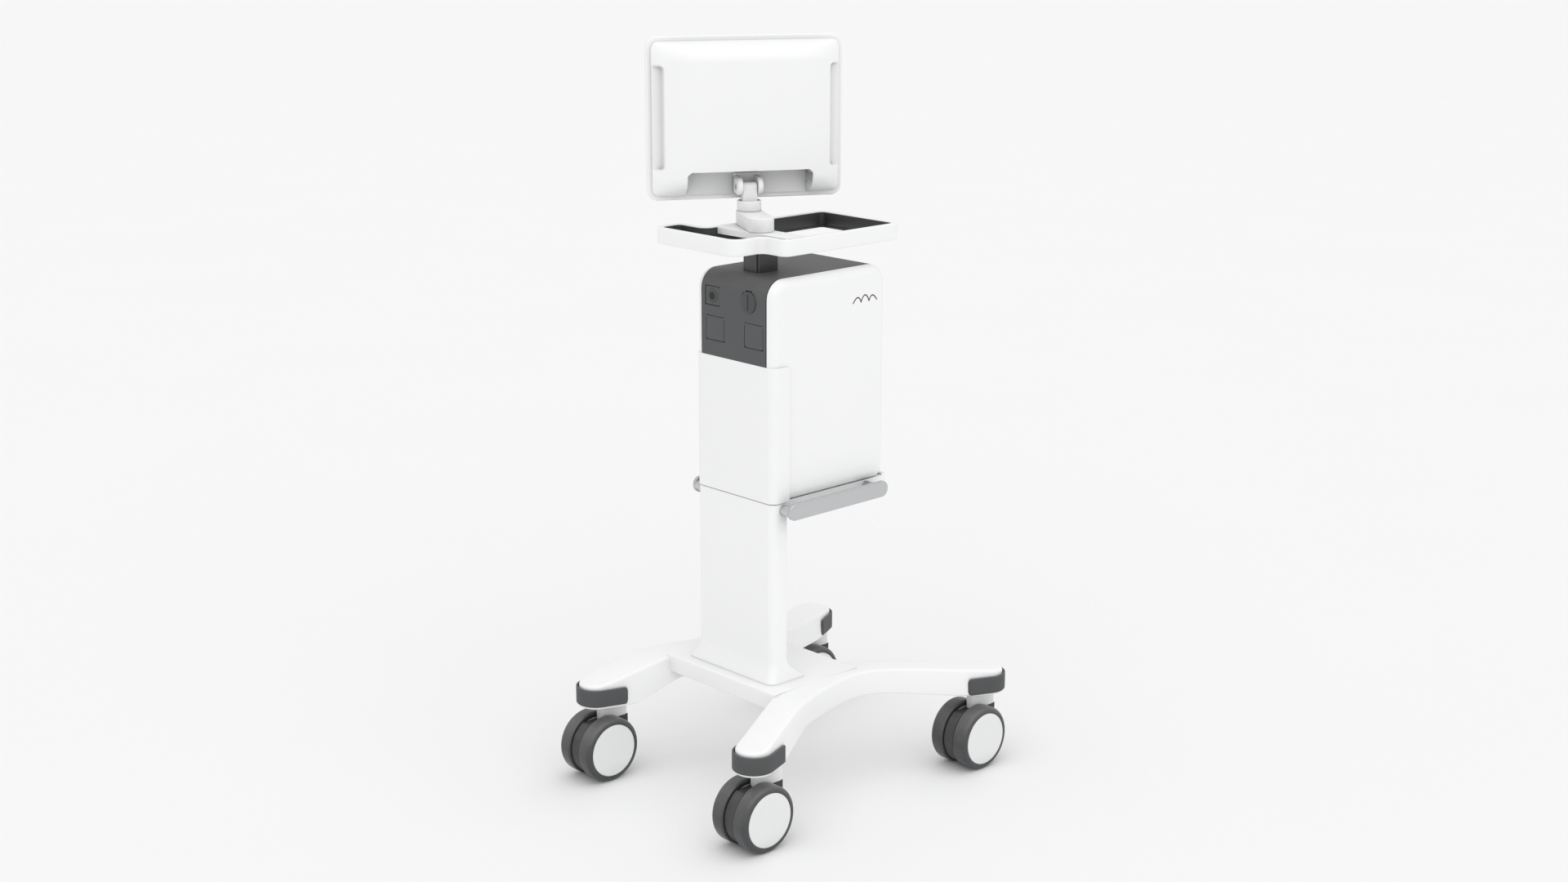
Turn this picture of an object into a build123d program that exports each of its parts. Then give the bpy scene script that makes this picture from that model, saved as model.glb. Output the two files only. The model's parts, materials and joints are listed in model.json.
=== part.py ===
from build123d import *
import math
import os

# A mechanical ventilator on a wheeled cart.  Millimetres, +Z up, floor at z = 0.
# The front faces -Y and the connector panel faces +Y.  Left is -X.
# The origin is on the floor, in the middle of the cart's footprint.

# ---- driving dimensions -------------------------------------------------------------
# casters
WHEEL_R = 62.5
WHEEL_IN, WHEEL_OUT = 13.5, 45.0          # from the caster's middle plane
CAP_R = 51.0
TRAIL = 34.0                              # swivel axis to wheel axis, wheels trail to +Y
AXLE_R = 6.0
RUN_GAP = 0.05                            # radial clearance of a running fit
STEM_R = 6.5
STEM_LOW, STEM_HIGH = 96.0, 178.0
STEMS = {
    "rear_left": (-218.0, 253.0), "rear_right": (218.0, 253.0),
    "front_left": (-232.0, -308.5), "front_right": (232.0, -308.5),
}
HORN_W, HORN_LOW, HORN_TOP = 24.0, 112.0, 144.5
HORN_FRONT, HORN_REAR = -30.0, 33.0       # from the swivel axis
WEB_R, WEB_HALF = 58.0, 11.0
WEB_FRONT, WEB_REAR, WEB_LOW = -29.0, 32.0, 84.0
AXLE_HALF = 36.0
TYRE_ROUND, TYRE_INNER_ROUND, CAP_ROUND = 9.0, 4.0, 1.8
CAP_PROUD = 2.0                           # cap face beyond the tyre's

# base
LEG_HALF = 36.5
LEG_LINE = [(221.5, 287.5), (172, 146), (137, 0), (148, -115), (182, -192), (239.2, -310.6)]
LEG_TOP_MID, LEG_TOP_TIP = 236.0, 193.0
LEG_BOTTOM_MID, LEG_BOTTOM_TIP = 187.0, 146.0
LEG_TOP_Y = (-330.0, -40.0, 165.0, 300.0)       # where the top's slopes start and end
LEG_BOTTOM_Y = (-270.0, -40.0, 150.0, 232.0)
LEG_EDGE = 4.0
PLATE_HALF, PLATE_REAR, PLATE_FRONT = 150.0, 169.0, -44.0
PLATE_BOTTOM = 202.0
RECESS_HALF, RECESS_FRONT, RECESS_REAR, RECESS_DEEP = 80.0, 0.0, 140.0, 22.0
BUMPER_T = 3.0
BUMPER_LOW, BUMPER_HIGH = 151.0, 185.0
BUMPER_REACH = 62.0

# column
COLUMN_HALF = 105.0
COLUMN_REAR, COLUMN_FRONT = 131.5, 95.0
COVER_HALF, COVER_REAR, COVER_FRONT = 106.0, 132.0, 90.0
COVER_WALL = 2.5
SEAM_Z, COVER_TOP = 579.0, 832.5
CORE_HALF, CORE_FRONT, CORE_REAR, CORE_TOP = 75.0, 101.0, 127.0, 712.0
CORE_WALL, CORE_FOOT = 4.0, 6.0
SHELF_HALF, SHELF_LOW = 95.0, 552.0
SHELF_FRONT, SHELF_LIP_REAR, SHELF_LIP = -171.0, -162.0, 4.0
SHELF_WALL, SHELF_ROOF = 5.0, 6.0
RAIL_IN, RAIL_OUT = 126.0, 134.0
RAIL_REAR, RAIL_FRONT, RAIL_LOW, RAIL_HIGH = 116.0, -140.0, 551.0, 582.0
RAIL_END_R, RAIL_EDGE = 15.0, 2.0
PEG_R, PEG_FRONT_Y, PEG_REAR_Y = 10.0, -118.0, 106.0
FOOT_TOP, FOOT_LIP = 277.0, 3.0
FOOT_SECTIONS = [(FOOT_TOP, 0.2, 94.0), (252.0, 3.5, 86.0), (LEG_TOP_MID + FOOT_LIP, 12.0, 62.0)]
FOOT_REAR_SHARE = 1.25                    # the skirt grows this much more to the rear
CORNER_R, FOOT_CORNER_R, SHOULDER_R = 17.0, 6.0, 12.0

# ventilator body
BODY_HALF = 103.2
BODY_REAR, BODY_FRONT = 132.0, -160.0
BODY_LOW, BODY_HIGH = 579.0, 990.0
CREST_R, KEEL_R = 36.0, 20.0
WALL = 3.0
BAND_HALF = 87.5                          # the dark band between the two side shells
REVEAL = 0.4
FLAP_CENTRES = {"flap_left": -54.0, "flap_right": 49.0}
FLAP_W, FLAP_LOW, FLAP_HIGH = 48.0, 862.0, 907.0
FLAP_T, FLAP_CORNER, FLAP_GAP = 3.0, 5.0, 0.9
FLAP_PIN_R, FLAP_PIN_END, HINGE_DROP = 0.8, 3.5, 2.5
SOCKET_X, SOCKET_Z, SOCKET_W, SOCKET_H, SOCKET_R = 57.0, 943.5, 38.0, 35.0, 7.0
SOCKET_RING, SOCKET_FLOOR, SOCKET_TAIL, SOCKET_SINK = 3.5, 109.0, 104.0, 1.5
DISC_X, DISC_Z, DISC_R = -40.0, 944.5, 19.5
DISC_BACK, DISC_PROUD, DISC_EDGE, DISC_GAP = 124.0, 1.2, 1.0, 0.4
COIN_W, COIN_L, COIN_DEEP = 3.0, 30.0, 1.5
LOCK_SHAFT_R, LOCK_SHAFT_FRONT = 6.0, 105.0
PORT_X, PORT_Z = 38.0, 640.0
PORT_R, PORT_BORE_R, PORT_COLLAR_R, PORT_NECK_R = 11.0, 7.5, 14.0, 12.0
PORT_L, PORT_COLLAR_L, PORT_FLANGE_L = 20.0, 2.0, 9.0

# inside the body
INSIDE_HALF = 85.0                        # chassis floor, deck and back
FLOOR_TOP, DECK_LOW, DECK_TOP, BACK_TOP = 587.0, 742.0, 746.0, 846.0
DECK_FRONT, INSIDE_REAR = -138.0, 98.0
BOARD_HALF, BOARD_REAR, BOARD_LOW, BOARD_HIGH = 80.0, 104.0, 815.0, 966.0
CONNECTOR_HALF, CONNECTOR_REAR, CONNECTOR_HOLE, CONNECTOR_FLOOR = 20.0, 124.0, 12.0, 112.0
BEARING_R, BEARING_REAR = 11.0, 118.0
BLOWER_R, BLOWER_Y, BLOWER_TOP = 48.0, -30.0, 640.0
BLOWER_DUCT = (0.0, 30.0, -90.0, -30.0, 592.0, 632.0)
MANIFOLD = (-70.0, 70.0, -146.0, -100.0, 700.0, 738.0)
MANIFOLD_INLET = (-20.0, 20.0, -130.0, -104.0, 660.0, 700.0)
BATTERY = (-78.0, 78.0, 25.0, 95.0, 590.0, 690.0)
POWER_SUPPLY = (-78.0, -5.0, -60.0, 92.0, 748.0, 812.0)
MAINBOARD = (5.0, 78.0, -120.0, 92.0, 752.0, 754.0)
PROCESSOR = (15.0, 55.0, -60.0, 0.0, 754.0, 760.0)

# tray
POST_Y = 64.0
POST_W, POST_D, POST_CORNER = 45.0, 49.0, 6.0
POST_ROOT_R, POST_ROOT = 15.0, 14.0
GROOVE_DEEP, GROOVE_FRONT, GROOVE_REAR = 1.5, 76.0, 79.0
TRAY_LOW, TRAY_HIGH = 1031.0, 1061.0
RIM_T, LINER_T = 12.0, 2.5
TRAY_OUTLINE = [(-106, -197.5), (106, -197.5), (106, 103.5), (175, 103.5),
                (175, 172), (-48, 172), (-48, 103.5), (-106, 103.5)]
TRAY_RADII = [24, 24, 8, 20, 22, 30, 14, 18]
RIM_EDGE, LINER_UP, LINER_DOWN = 2.0, 1.0, 3.0
PLATFORM_FRONT, PLATFORM_REAR = 40.0, 87.0
PLATFORM_T, PLATFORM_PROUD = 12.0, 0.5

# arm, neck and monitor, drawn pointing to -Y from the post axis and then swung round
SWING = 61.5
ARM_L, ARM_R = 84.0, 24.4
ARM_LOW, ARM_HIGH, ARM_EDGE = 1062.0, 1087.0, 2.5
ARM_SPIGOT_R, ARM_SPIGOT_LOW, ARM_BORE_LOW = 9.0, 1025.0, 1021.0
NECK_R, NECK_TOP, NECK_EDGE, NECK_GAP = 22.5, 1106.0, 1.5, 0.4
NECK_SPIGOT_R, NECK_SPIGOT_L = 8.0, 15.0
TILT_Z = 1131.0
EAR_R, EAR_IN, EAR_T = 18.0, 14.5, 11.0
TAB_HALF, TAB_T = 14.0, 17.0
PIN_R = 5.0
BRACKET_DOWN, BRACKET_UP, BRACKET_T = 14.0, 24.0, 5.0
SCREEN_W, SCREEN_H, SCREEN_Z = 370.0, 298.0, 1255.0
SCREEN_BACK = -112.0                      # rear face of the front frame
BEZEL_T, BEZEL_R, BEZEL_EDGE, BEZEL_BACK = 12.0, 21.0, 3.0, 3.0
GLASS_FRAME, GLASS_T, GLASS_GAP, GLASS_R = 13.0, 3.0, 0.3, 12.0
PANEL_FRAME, PANEL_GAP, PANEL_R = 17.0, 1.0, 6.0
SHELL_MARGIN, SHELL_D, SHELL_FLOOR = 9.0, 48.0, 4.0
SHELL_SIDE_FALL, SHELL_END_FALL, SHELL_CORNER, SHELL_CORNER_GROW = 84.0, 68.0, 14.0, 4.0
BAY_HALF, BAY_TOP, BAY_CORNER = 116.0, 1161.0, 10.0
GRIP_W, GRIP_LOW, GRIP_HIGH, GRIP_FLOOR = 19.0, 1165.0, 1351.0, 8.0
HOLLOW_SIDE, HOLLOW_END, HOLLOW_WALL, HOLLOW_LOW = 65.0, 60.0, 5.0, 1168.0

FAR = 400.0                               # beyond every face of the part, for cutting tools

os.makedirs("parts", exist_ok=True)


def save(name, shape):
    export_step(shape, f"parts/{name}.step")


def block(x0, x1, y0, y1, z0, z1):
    return Pos((x0 + x1) / 2, (y0 + y1) / 2, (z0 + z1) / 2) * Box(x1 - x0, y1 - y0, z1 - z0)


def rod_x(r, x0, x1, y, z):
    return Pos((x0 + x1) / 2, y, z) * Rot(0, 90, 0) * Cylinder(r, x1 - x0)


def rod_y(r, y0, y1, x, z):
    return Pos(x, (y0 + y1) / 2, z) * Rot(90, 0, 0) * Cylinder(r, y1 - y0)


def rod_z(r, z0, z1, x=0.0, y=0.0):
    return Pos(x, y, (z0 + z1) / 2) * Cylinder(r, z1 - z0)


def mirrored(shape):
    return mirror(shape, about=Plane.YZ)


def group(*shapes):
    return Compound(children=[solid for shape in shapes for solid in shape.solids()])


def side_prism(points, radii, x0, x1):
    """Outline in the YZ plane, its corners rounded one by one, pushed along X."""
    outline = Polyline(*[(y, z) for y, z in points], close=True)
    face = make_face(outline)
    for (y, z), r in zip(points, radii):
        if r:
            corner = face.vertices().sort_by_distance((y, z, 0))[0]
            face = fillet(corner, r)
    return extrude(Plane.YZ.offset(x0) * face, x1 - x0)


def plan_prism(face, z0, z1):
    return extrude(Pos(0, 0, z0) * face, z1 - z0)


def rounded_plan(points, radii):
    face = make_face(Polyline(*points, close=True))
    for (x, y), r in zip(points, radii):
        if r:
            corner = face.vertices().sort_by_distance((x, y, 0))[0]
            face = fillet(corner, r)
    return face


# ---- casters ------------------------------------------------------------------------
def end_edges(shape, side):
    return shape.faces().sort_by(Axis.X)[-1 if side > 0 else 0].edges()


def tyre(side, x, y):
    near, far = sorted((x + side * WHEEL_IN, x + side * (WHEEL_OUT - CAP_PROUD)))
    ring = rod_x(WHEEL_R, near, far, y, WHEEL_R)
    ring = fillet(end_edges(ring, side), TYRE_ROUND)
    ring = fillet(end_edges(ring, -side), TYRE_INNER_ROUND)
    return ring - rod_x(CAP_R, near - 1, far + 1, y, WHEEL_R)


def cap(side, x, y):
    near, far = sorted((x + side * (WHEEL_IN + 1), x + side * WHEEL_OUT))
    disc = rod_x(CAP_R, near, far, y, WHEEL_R)
    disc = fillet(end_edges(disc, side), CAP_ROUND)
    return disc - rod_x(AXLE_R, x - AXLE_HALF, x + AXLE_HALF, y, WHEEL_R)


def horn(x, y):
    plan = Pos(x, y + (HORN_FRONT + HORN_REAR) / 2) * RectangleRounded(HORN_W, HORN_REAR - HORN_FRONT, 8)
    shape = plan_prism(plan, HORN_LOW, HORN_TOP)
    shape = fillet(shape.faces().sort_by(Axis.Z)[-1].edges(), 2)
    return shape - rod_z(STEM_R + RUN_GAP, HORN_LOW - 1, HORN_TOP + 1, x, y)


def web(x, y):
    wheel_y = y + TRAIL
    shape = rod_x(WEB_R, x - WEB_HALF, x + WEB_HALF, wheel_y, WHEEL_R)
    shape += block(x - WEB_HALF, x + WEB_HALF, y + WEB_FRONT, y + WEB_REAR, WEB_LOW, HORN_LOW)
    shape -= block(x - WHEEL_IN, x + WHEEL_IN, y - FAR, y + FAR, HORN_LOW, HORN_LOW + WEB_R)
    shape -= rod_x(AXLE_R + RUN_GAP, x - WHEEL_IN, x + WHEEL_IN, wheel_y, WHEEL_R)
    return shape - rod_z(STEM_R + RUN_GAP, STEM_LOW - 1, HORN_LOW + 1, x, y)


def caster(name, x, y):
    """Twin-wheel caster: white horn and dark web on the swivel, two wheels on one axle."""
    wheel_y = y + TRAIL
    save(f"caster_{name}_horn", horn(x, y))
    save(f"caster_{name}_web", web(x, y))
    save(f"caster_{name}_axle", rod_x(AXLE_R, x - AXLE_HALF, x + AXLE_HALF, wheel_y, WHEEL_R))
    save(f"caster_{name}_tyres", group(tyre(-1, x, wheel_y), tyre(1, x, wheel_y)))
    save(f"caster_{name}_caps", group(cap(-1, x, wheel_y), cap(1, x, wheel_y)))


# ---- base ---------------------------------------------------------------------------
def leg_plan(half):
    """Plan of the right-hand bowed side member: a band along its centre line, round ends."""
    centre = Spline(*LEG_LINE)
    samples = 9
    left, right = [], []
    for i in range(samples):
        t = i / (samples - 1)
        p, d = centre @ t, centre % t
        left.append((p.X - d.Y * half, p.Y + d.X * half))
        right.append((p.X + d.Y * half, p.Y - d.X * half))
    start, end = centre @ 0, centre @ 1
    d0, d1 = centre % 0, centre % 1
    tip0 = (start.X - d0.X * half, start.Y - d0.Y * half)
    tip1 = (end.X + d1.X * half, end.Y + d1.Y * half)
    edges = [
        Spline(*left), ThreePointArc(left[-1], tip1, right[-1]),
        Spline(*right), ThreePointArc(left[0], tip0, right[0]),
    ]
    return make_face(edges)


def leg_side():
    """Side view of a member: level in the middle, falling to both ends."""
    low, high = (LEG_BOTTOM_TIP, LEG_BOTTOM_MID), (LEG_TOP_TIP, LEG_TOP_MID)
    bottom = list(zip(LEG_BOTTOM_Y, (low[0], low[1], low[1], low[0])))
    top = list(zip(LEG_TOP_Y, (high[0], high[1], high[1], high[0])))
    points = [(-FAR, low[0])] + bottom + [(FAR, low[0]), (FAR, high[0])] + top[::-1] + [(-FAR, high[0])]
    radii = [0, 200, 200, 60, 60, 0, 0, 60, 90, 300, 60, 0]
    return side_prism(points, radii, 0, FAR)


def side_member():
    member = plan_prism(leg_plan(LEG_HALF), LEG_BOTTOM_TIP - 1, LEG_TOP_MID + 1) & leg_side()
    top = [edge for edge in member.edges() if edge.center().Z > LEG_TOP_TIP - LEG_EDGE]
    member = fillet(top, LEG_EDGE)
    for x, y in STEMS.values():
        if x > 0:
            member -= rod_z(STEM_R, LEG_BOTTOM_TIP - 1, STEM_HIGH, x, y)
    return member


def bumpers():
    """Soft bands that wrap both tips of the right-hand member."""
    ring = plan_prism(leg_plan(LEG_HALF + BUMPER_T), BUMPER_LOW, BUMPER_HIGH)
    ring -= plan_prism(leg_plan(LEG_HALF), BUMPER_LOW - 1, BUMPER_HIGH + 1)
    zones = [rod_z(BUMPER_REACH, BUMPER_LOW, BUMPER_HIGH, x, y) for x, y in (LEG_LINE[0], LEG_LINE[-1])]
    return [(ring & zone).solids()[0] for zone in zones]


def centre_plate(members):
    plate = block(-PLATE_HALF, PLATE_HALF, PLATE_FRONT, PLATE_REAR, PLATE_BOTTOM, LEG_TOP_MID)
    for member in members:
        plate -= member
    plate = plate.solids().sort_by(SortBy.VOLUME)[-1]
    return plate - block(-RECESS_HALF, RECESS_HALF, RECESS_FRONT, RECESS_REAR,
                         PLATE_BOTTOM - 1, PLATE_BOTTOM + RECESS_DEEP)


def base():
    right = side_member()
    left = mirrored(right)
    save("side_member_right", right)
    save("side_member_left", left)
    tips = bumpers()
    save("leg_bumpers", group(*tips, *[mirrored(tip) for tip in tips]))
    save("centre_plate", centre_plate([left, right]))
    stems = [rod_z(STEM_R, STEM_LOW, STEM_HIGH, x, y) for x, y in STEMS.values()]
    save("caster_stems", group(*stems))


# ---- column -------------------------------------------------------------------------
def channel_plan(half, rear, front, radius, front_radius=0):
    points = [(-half, front), (half, front), (half, rear), (-half, rear)]
    return rounded_plan(points, [front_radius, front_radius, radius, radius])


def column_foot():
    """Flared skirt between the column and the base plate, three sections high."""
    plans = []
    for z, grow, front in FOOT_SECTIONS:
        plan = channel_plan(COLUMN_HALF + grow, COLUMN_REAR + grow * FOOT_REAR_SHARE, front,
                            CORNER_R, FOOT_CORNER_R)
        plans.append(Pos(0, 0, z) * plan)
    skirt = loft(plans) + extrude(plans[-1], -FOOT_LIP)
    inside = COLUMN_HALF - 4
    return skirt - block(-inside, inside, COLUMN_FRONT + 3.5, COLUMN_REAR - 3.5, LEG_TOP_MID - 1, FOOT_TOP + 1)


def column_lower_cover():
    plan = channel_plan(COLUMN_HALF, COLUMN_REAR, COLUMN_FRONT, CORNER_R)
    inner_plan = channel_plan(COLUMN_HALF - WALL, COLUMN_REAR - WALL, COLUMN_FRONT + WALL, CORNER_R - WALL)
    cover = plan_prism(plan, FOOT_TOP, SEAM_Z - 1) - plan_prism(inner_plan, FOOT_TOP - 1, SEAM_Z)
    slot = block(-CORE_HALF, CORE_HALF, COLUMN_FRONT - 1, COLUMN_FRONT + WALL + 1, SHELF_LOW, SEAM_Z)
    return column_foot() + (cover - slot)


def column_core():
    """Extruded tube that carries the ventilator, bolted down to the base plate."""
    tube = block(-CORE_HALF, CORE_HALF, CORE_FRONT, CORE_REAR, LEG_TOP_MID, CORE_TOP)
    half = CORE_HALF - CORE_WALL
    bore = block(-half, half, CORE_FRONT + CORE_WALL, CORE_REAR - CORE_WALL,
                 LEG_TOP_MID + CORE_FOOT, CORE_TOP + 1)
    return tube - bore


def cover_solid(half, rear, front, z0, z1):
    shape = plan_prism(channel_plan(half, rear, front, CORNER_R), z0, z1)
    blank = side_prism([(front - 1, z0 - 1), (rear + 1, z0 - 1), (rear + 1, z1), (front, z1)],
                       [0, 0, 0, SHOULDER_R], -half - 1, half + 1)
    return shape & blank


def cover_inside(wall, z0, z1):
    plan = channel_plan(COVER_HALF - wall, COVER_REAR - wall, COVER_FRONT - CORNER_R, CORNER_R - wall)
    return plan_prism(plan, z0, z1)


def column_upper_cover():
    """Cradle cover: a rear wall with two side flanges that wrap the ventilator's back."""
    outer = cover_solid(COVER_HALF, COVER_REAR, COVER_FRONT, SEAM_Z, COVER_TOP)
    return outer - cover_inside(COVER_WALL, SEAM_Z - 1, COVER_TOP + 1)


def cover_room():
    """Space that the column's upper cover takes at the back of the case."""
    outer = cover_solid(COVER_HALF + WALL, COVER_REAR + WALL, COVER_FRONT - REVEAL,
                        SEAM_Z - WALL, COVER_TOP + REVEAL)
    return outer - cover_inside(COVER_WALL + REVEAL / 2, SEAM_Z - WALL - 1, COVER_TOP + 1)


def shelf():
    """Support shelf under the ventilator: a low lip in front, a tongue bolted to the column tube."""
    lip = BODY_LOW + SHELF_LIP
    points = [(SHELF_FRONT, SHELF_LOW), (COLUMN_FRONT, SHELF_LOW), (COLUMN_FRONT, BODY_LOW),
              (SHELF_LIP_REAR, BODY_LOW), (SHELF_LIP_REAR, lip), (SHELF_FRONT, lip)]
    body = side_prism(points, [6, 0, 0, 0, 2, 2], -SHELF_HALF, SHELF_HALF)
    half = SHELF_HALF - SHELF_WALL
    hollow = block(-half, half, BODY_FRONT, COLUMN_FRONT - SHELF_WALL, SHELF_LOW - 1, BODY_LOW - SHELF_ROOF)
    tongue = block(-CORE_HALF, CORE_HALF, COLUMN_FRONT, CORE_FRONT, SHELF_LOW, BODY_LOW)
    return body + tongue - hollow


def rail():
    """Flat equipment rail with round ends, held off the shelf on two pegs."""
    points = [(RAIL_FRONT, RAIL_LOW), (RAIL_REAR, RAIL_LOW), (RAIL_REAR, RAIL_HIGH), (RAIL_FRONT, RAIL_HIGH)]
    bar = side_prism(points, [RAIL_END_R] * 4, RAIL_IN, RAIL_OUT)
    return fillet(end_edges(bar, 1), RAIL_EDGE)


def column():
    save("column_lower_cover", column_lower_cover())
    save("column_upper_cover", column_upper_cover())
    save("column_core", column_core())
    save("support_shelf", shelf())
    save("rails", group(rail(), mirrored(rail())))
    z = (RAIL_LOW + RAIL_HIGH) / 2
    pegs = [rod_x(PEG_R, SHELF_HALF, RAIL_IN, PEG_FRONT_Y, z),
            rod_x(PEG_R, COLUMN_HALF, RAIL_IN, PEG_REAR_Y, z)]
    save("rail_pegs", group(*pegs, *[mirrored(peg) for peg in pegs]))


# ---- ventilator body ----------------------------------------------------------------
def body_form(shrink):
    """Rounded case: a side profile pushed across, with both end faces' edges rounded."""
    crest, keel = CREST_R - shrink, KEEL_R - shrink
    y0, y1 = BODY_FRONT + shrink, BODY_REAR - shrink
    z0, z1 = BODY_LOW + shrink, BODY_HIGH - shrink
    half = BODY_HALF - shrink
    form = side_prism([(y0, z0), (y1, z0), (y1, z1), (y0, z1)], [keel, keel, crest, crest], -half, half)
    return fillet(end_edges(form, -1) + end_edges(form, 1), CORNER_R - shrink)


def behind(depth, x, half_w, z, half_h):
    """A box let into the rear face, as deep as asked."""
    return block(x - half_w, x + half_w, BODY_REAR - depth, BODY_REAR + depth, z - half_h, z + half_h)


def flap_axis():
    return BODY_REAR - FLAP_T / 2, FLAP_HIGH - HINGE_DROP


def flap(x):
    """Dust cover over a connector, hinged along its top edge."""
    y, z = flap_axis()
    r = FLAP_T / 2
    plate = block(x - FLAP_W / 2, x + FLAP_W / 2, y - r, y + r, FLAP_LOW, z)
    plate = fillet(plate.edges().filter_by(Axis.Y).group_by(Axis.Z)[0], FLAP_CORNER)
    plate += rod_x(r, x - FLAP_W / 2, x + FLAP_W / 2, y, z)
    return plate - rod_x(FLAP_PIN_R + RUN_GAP, x - FLAP_W, x + FLAP_W, y, z)


def flap_pins():
    y, z = flap_axis()
    reach = FLAP_W / 2 + FLAP_PIN_END
    return [rod_x(FLAP_PIN_R, x - reach, x + reach, y, z) for x in FLAP_CENTRES.values()]


def centre_cover(case):
    """Dark band over the top and the upper back, cut out for the connectors."""
    half = BAND_HALF - REVEAL
    band = case & block(-half, half, BODY_FRONT + CREST_R, FAR, COVER_TOP + REVEAL, BODY_HIGH + 1)
    middle, half_high = (FLAP_LOW - FLAP_GAP + FLAP_HIGH) / 2, (FLAP_HIGH - FLAP_LOW + FLAP_GAP) / 2
    for x in FLAP_CENTRES.values():
        band -= behind(SHOULDER_R, x, FLAP_W / 2 + FLAP_GAP, middle, half_high)
    for pin in flap_pins():
        band -= pin
    band -= behind(SHOULDER_R, SOCKET_X, SOCKET_W / 2, SOCKET_Z, SOCKET_H / 2)
    band -= rod_y(DISC_R + DISC_GAP, BODY_REAR - SHOULDER_R, BODY_REAR + 1, DISC_X, DISC_Z)
    return band - rod_z(POST_ROOT_R, BODY_HIGH - POST_ROOT, BODY_HIGH + 1, 0, POST_Y)


def socket_plate():
    plate = behind(BODY_REAR - 121, SOCKET_X, SOCKET_W / 2, SOCKET_Z, SOCKET_H / 2)
    plate &= block(-FAR, FAR, 0, BODY_REAR - SOCKET_SINK, 0, BODY_HIGH)
    plate += rod_y(SOCKET_R + SOCKET_RING, SOCKET_TAIL, BODY_REAR, SOCKET_X, SOCKET_Z)
    return plate - rod_y(SOCKET_R, SOCKET_FLOOR, BODY_REAR + 1, SOCKET_X, SOCKET_Z)


def lock_disc():
    """Coin-slot lock that holds the back of the case, turned a quarter."""
    disc = rod_y(DISC_R, DISC_BACK, BODY_REAR + DISC_PROUD, DISC_X, DISC_Z)
    disc = fillet(disc.faces().sort_by(Axis.Y)[-1].edges(), DISC_EDGE)
    disc -= behind(COIN_DEEP, DISC_X, COIN_W / 2, DISC_Z, COIN_L / 2)
    return disc + rod_y(LOCK_SHAFT_R, LOCK_SHAFT_FRONT, DISC_BACK, DISC_X, DISC_Z)


def connector_board():
    """Plate on the chassis that carries the connectors behind the flaps and the lock's bearing."""
    board = block(-BOARD_HALF, BOARD_HALF, CORE_FRONT, BOARD_REAR, BOARD_LOW, BOARD_HIGH)
    low, high = FLAP_LOW + 4, FLAP_HIGH - 6
    for x in FLAP_CENTRES.values():
        board += block(x - CONNECTOR_HALF, x + CONNECTOR_HALF, BOARD_REAR, CONNECTOR_REAR, low, high)
        board -= block(x - CONNECTOR_HOLE, x + CONNECTOR_HOLE, CONNECTOR_FLOOR, CONNECTOR_REAR + 1,
                       low + 8, high - 8)
    board += rod_y(BEARING_R, BOARD_REAR, BEARING_REAR, DISC_X, DISC_Z)
    return board - rod_y(LOCK_SHAFT_R + RUN_GAP, BOARD_REAR, BEARING_REAR + 1, DISC_X, DISC_Z)


def port(x):
    """Breathing-circuit port: a tube with a collar outside the front panel and a flange behind it."""
    front, inside = BODY_FRONT - PORT_COLLAR_L, BODY_FRONT + WALL
    tube = rod_y(PORT_R, front - PORT_L, front, x, PORT_Z)
    tube += rod_y(PORT_COLLAR_R, front, BODY_FRONT, x, PORT_Z)
    tube += rod_y(PORT_NECK_R, BODY_FRONT, inside, x, PORT_Z)
    tube += rod_y(PORT_COLLAR_R, inside, inside + PORT_FLANGE_L, x, PORT_Z)
    return tube - rod_y(PORT_BORE_R, front - PORT_L - 1, inside + PORT_FLANGE_L - WALL, x, PORT_Z)


def front_panel(case):
    half = BAND_HALF - REVEAL
    panel = case & block(-half, half, -FAR, BODY_FRONT + CREST_R - REVEAL, BODY_LOW - 1, BODY_HIGH + 1)
    panel = panel.solids().sort_by(SortBy.VOLUME)[-1]
    for x in (-PORT_X, PORT_X):
        panel -= rod_y(PORT_NECK_R, BODY_FRONT - 1, BODY_FRONT + WALL + 1, x, PORT_Z)
    return panel


def rear_panel():
    for name, x in FLAP_CENTRES.items():
        save(name, flap(x))
    save("flap_pins", group(*flap_pins()))
    save("socket_plate", socket_plate())
    save("lock_disc", lock_disc())
    save("connector_board", connector_board())


def internals():
    """Chassis floor, deck and back, and the units that stand on them."""
    half = INSIDE_HALF
    floor = block(-half, half, BODY_FRONT + CREST_R, INSIDE_REAR, BODY_LOW, FLOOR_TOP)
    deck = block(-half, half, DECK_FRONT, INSIDE_REAR, DECK_LOW, DECK_TOP)
    back = block(-half, half, INSIDE_REAR, CORE_FRONT, BODY_LOW + 1, BACK_TOP)
    save("chassis", floor + deck + back)
    save("blower", rod_z(BLOWER_R, FLOOR_TOP, BLOWER_TOP, 0, BLOWER_Y) + block(*BLOWER_DUCT))
    save("gas_manifold", block(*MANIFOLD) + block(*MANIFOLD_INLET))
    save("battery", block(*BATTERY))
    save("power_supply", block(*POWER_SUPPLY))
    save("mainboard", block(*MAINBOARD) + block(*PROCESSOR))


def body():
    case = body_form(0) - body_form(WALL) - cover_room()
    left = case & block(-FAR, -BAND_HALF, -FAR, FAR, BODY_LOW - 1, BODY_HIGH + 1)
    left = left.solids().sort_by(SortBy.VOLUME)[-1]
    save("side_shell_left", left)
    save("side_shell_right", mirrored(left))
    save("centre_cover", centre_cover(case))
    save("front_panel", front_panel(case))
    save("patient_ports", group(port(-PORT_X), port(PORT_X)))
    rear_panel()
    internals()


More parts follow.
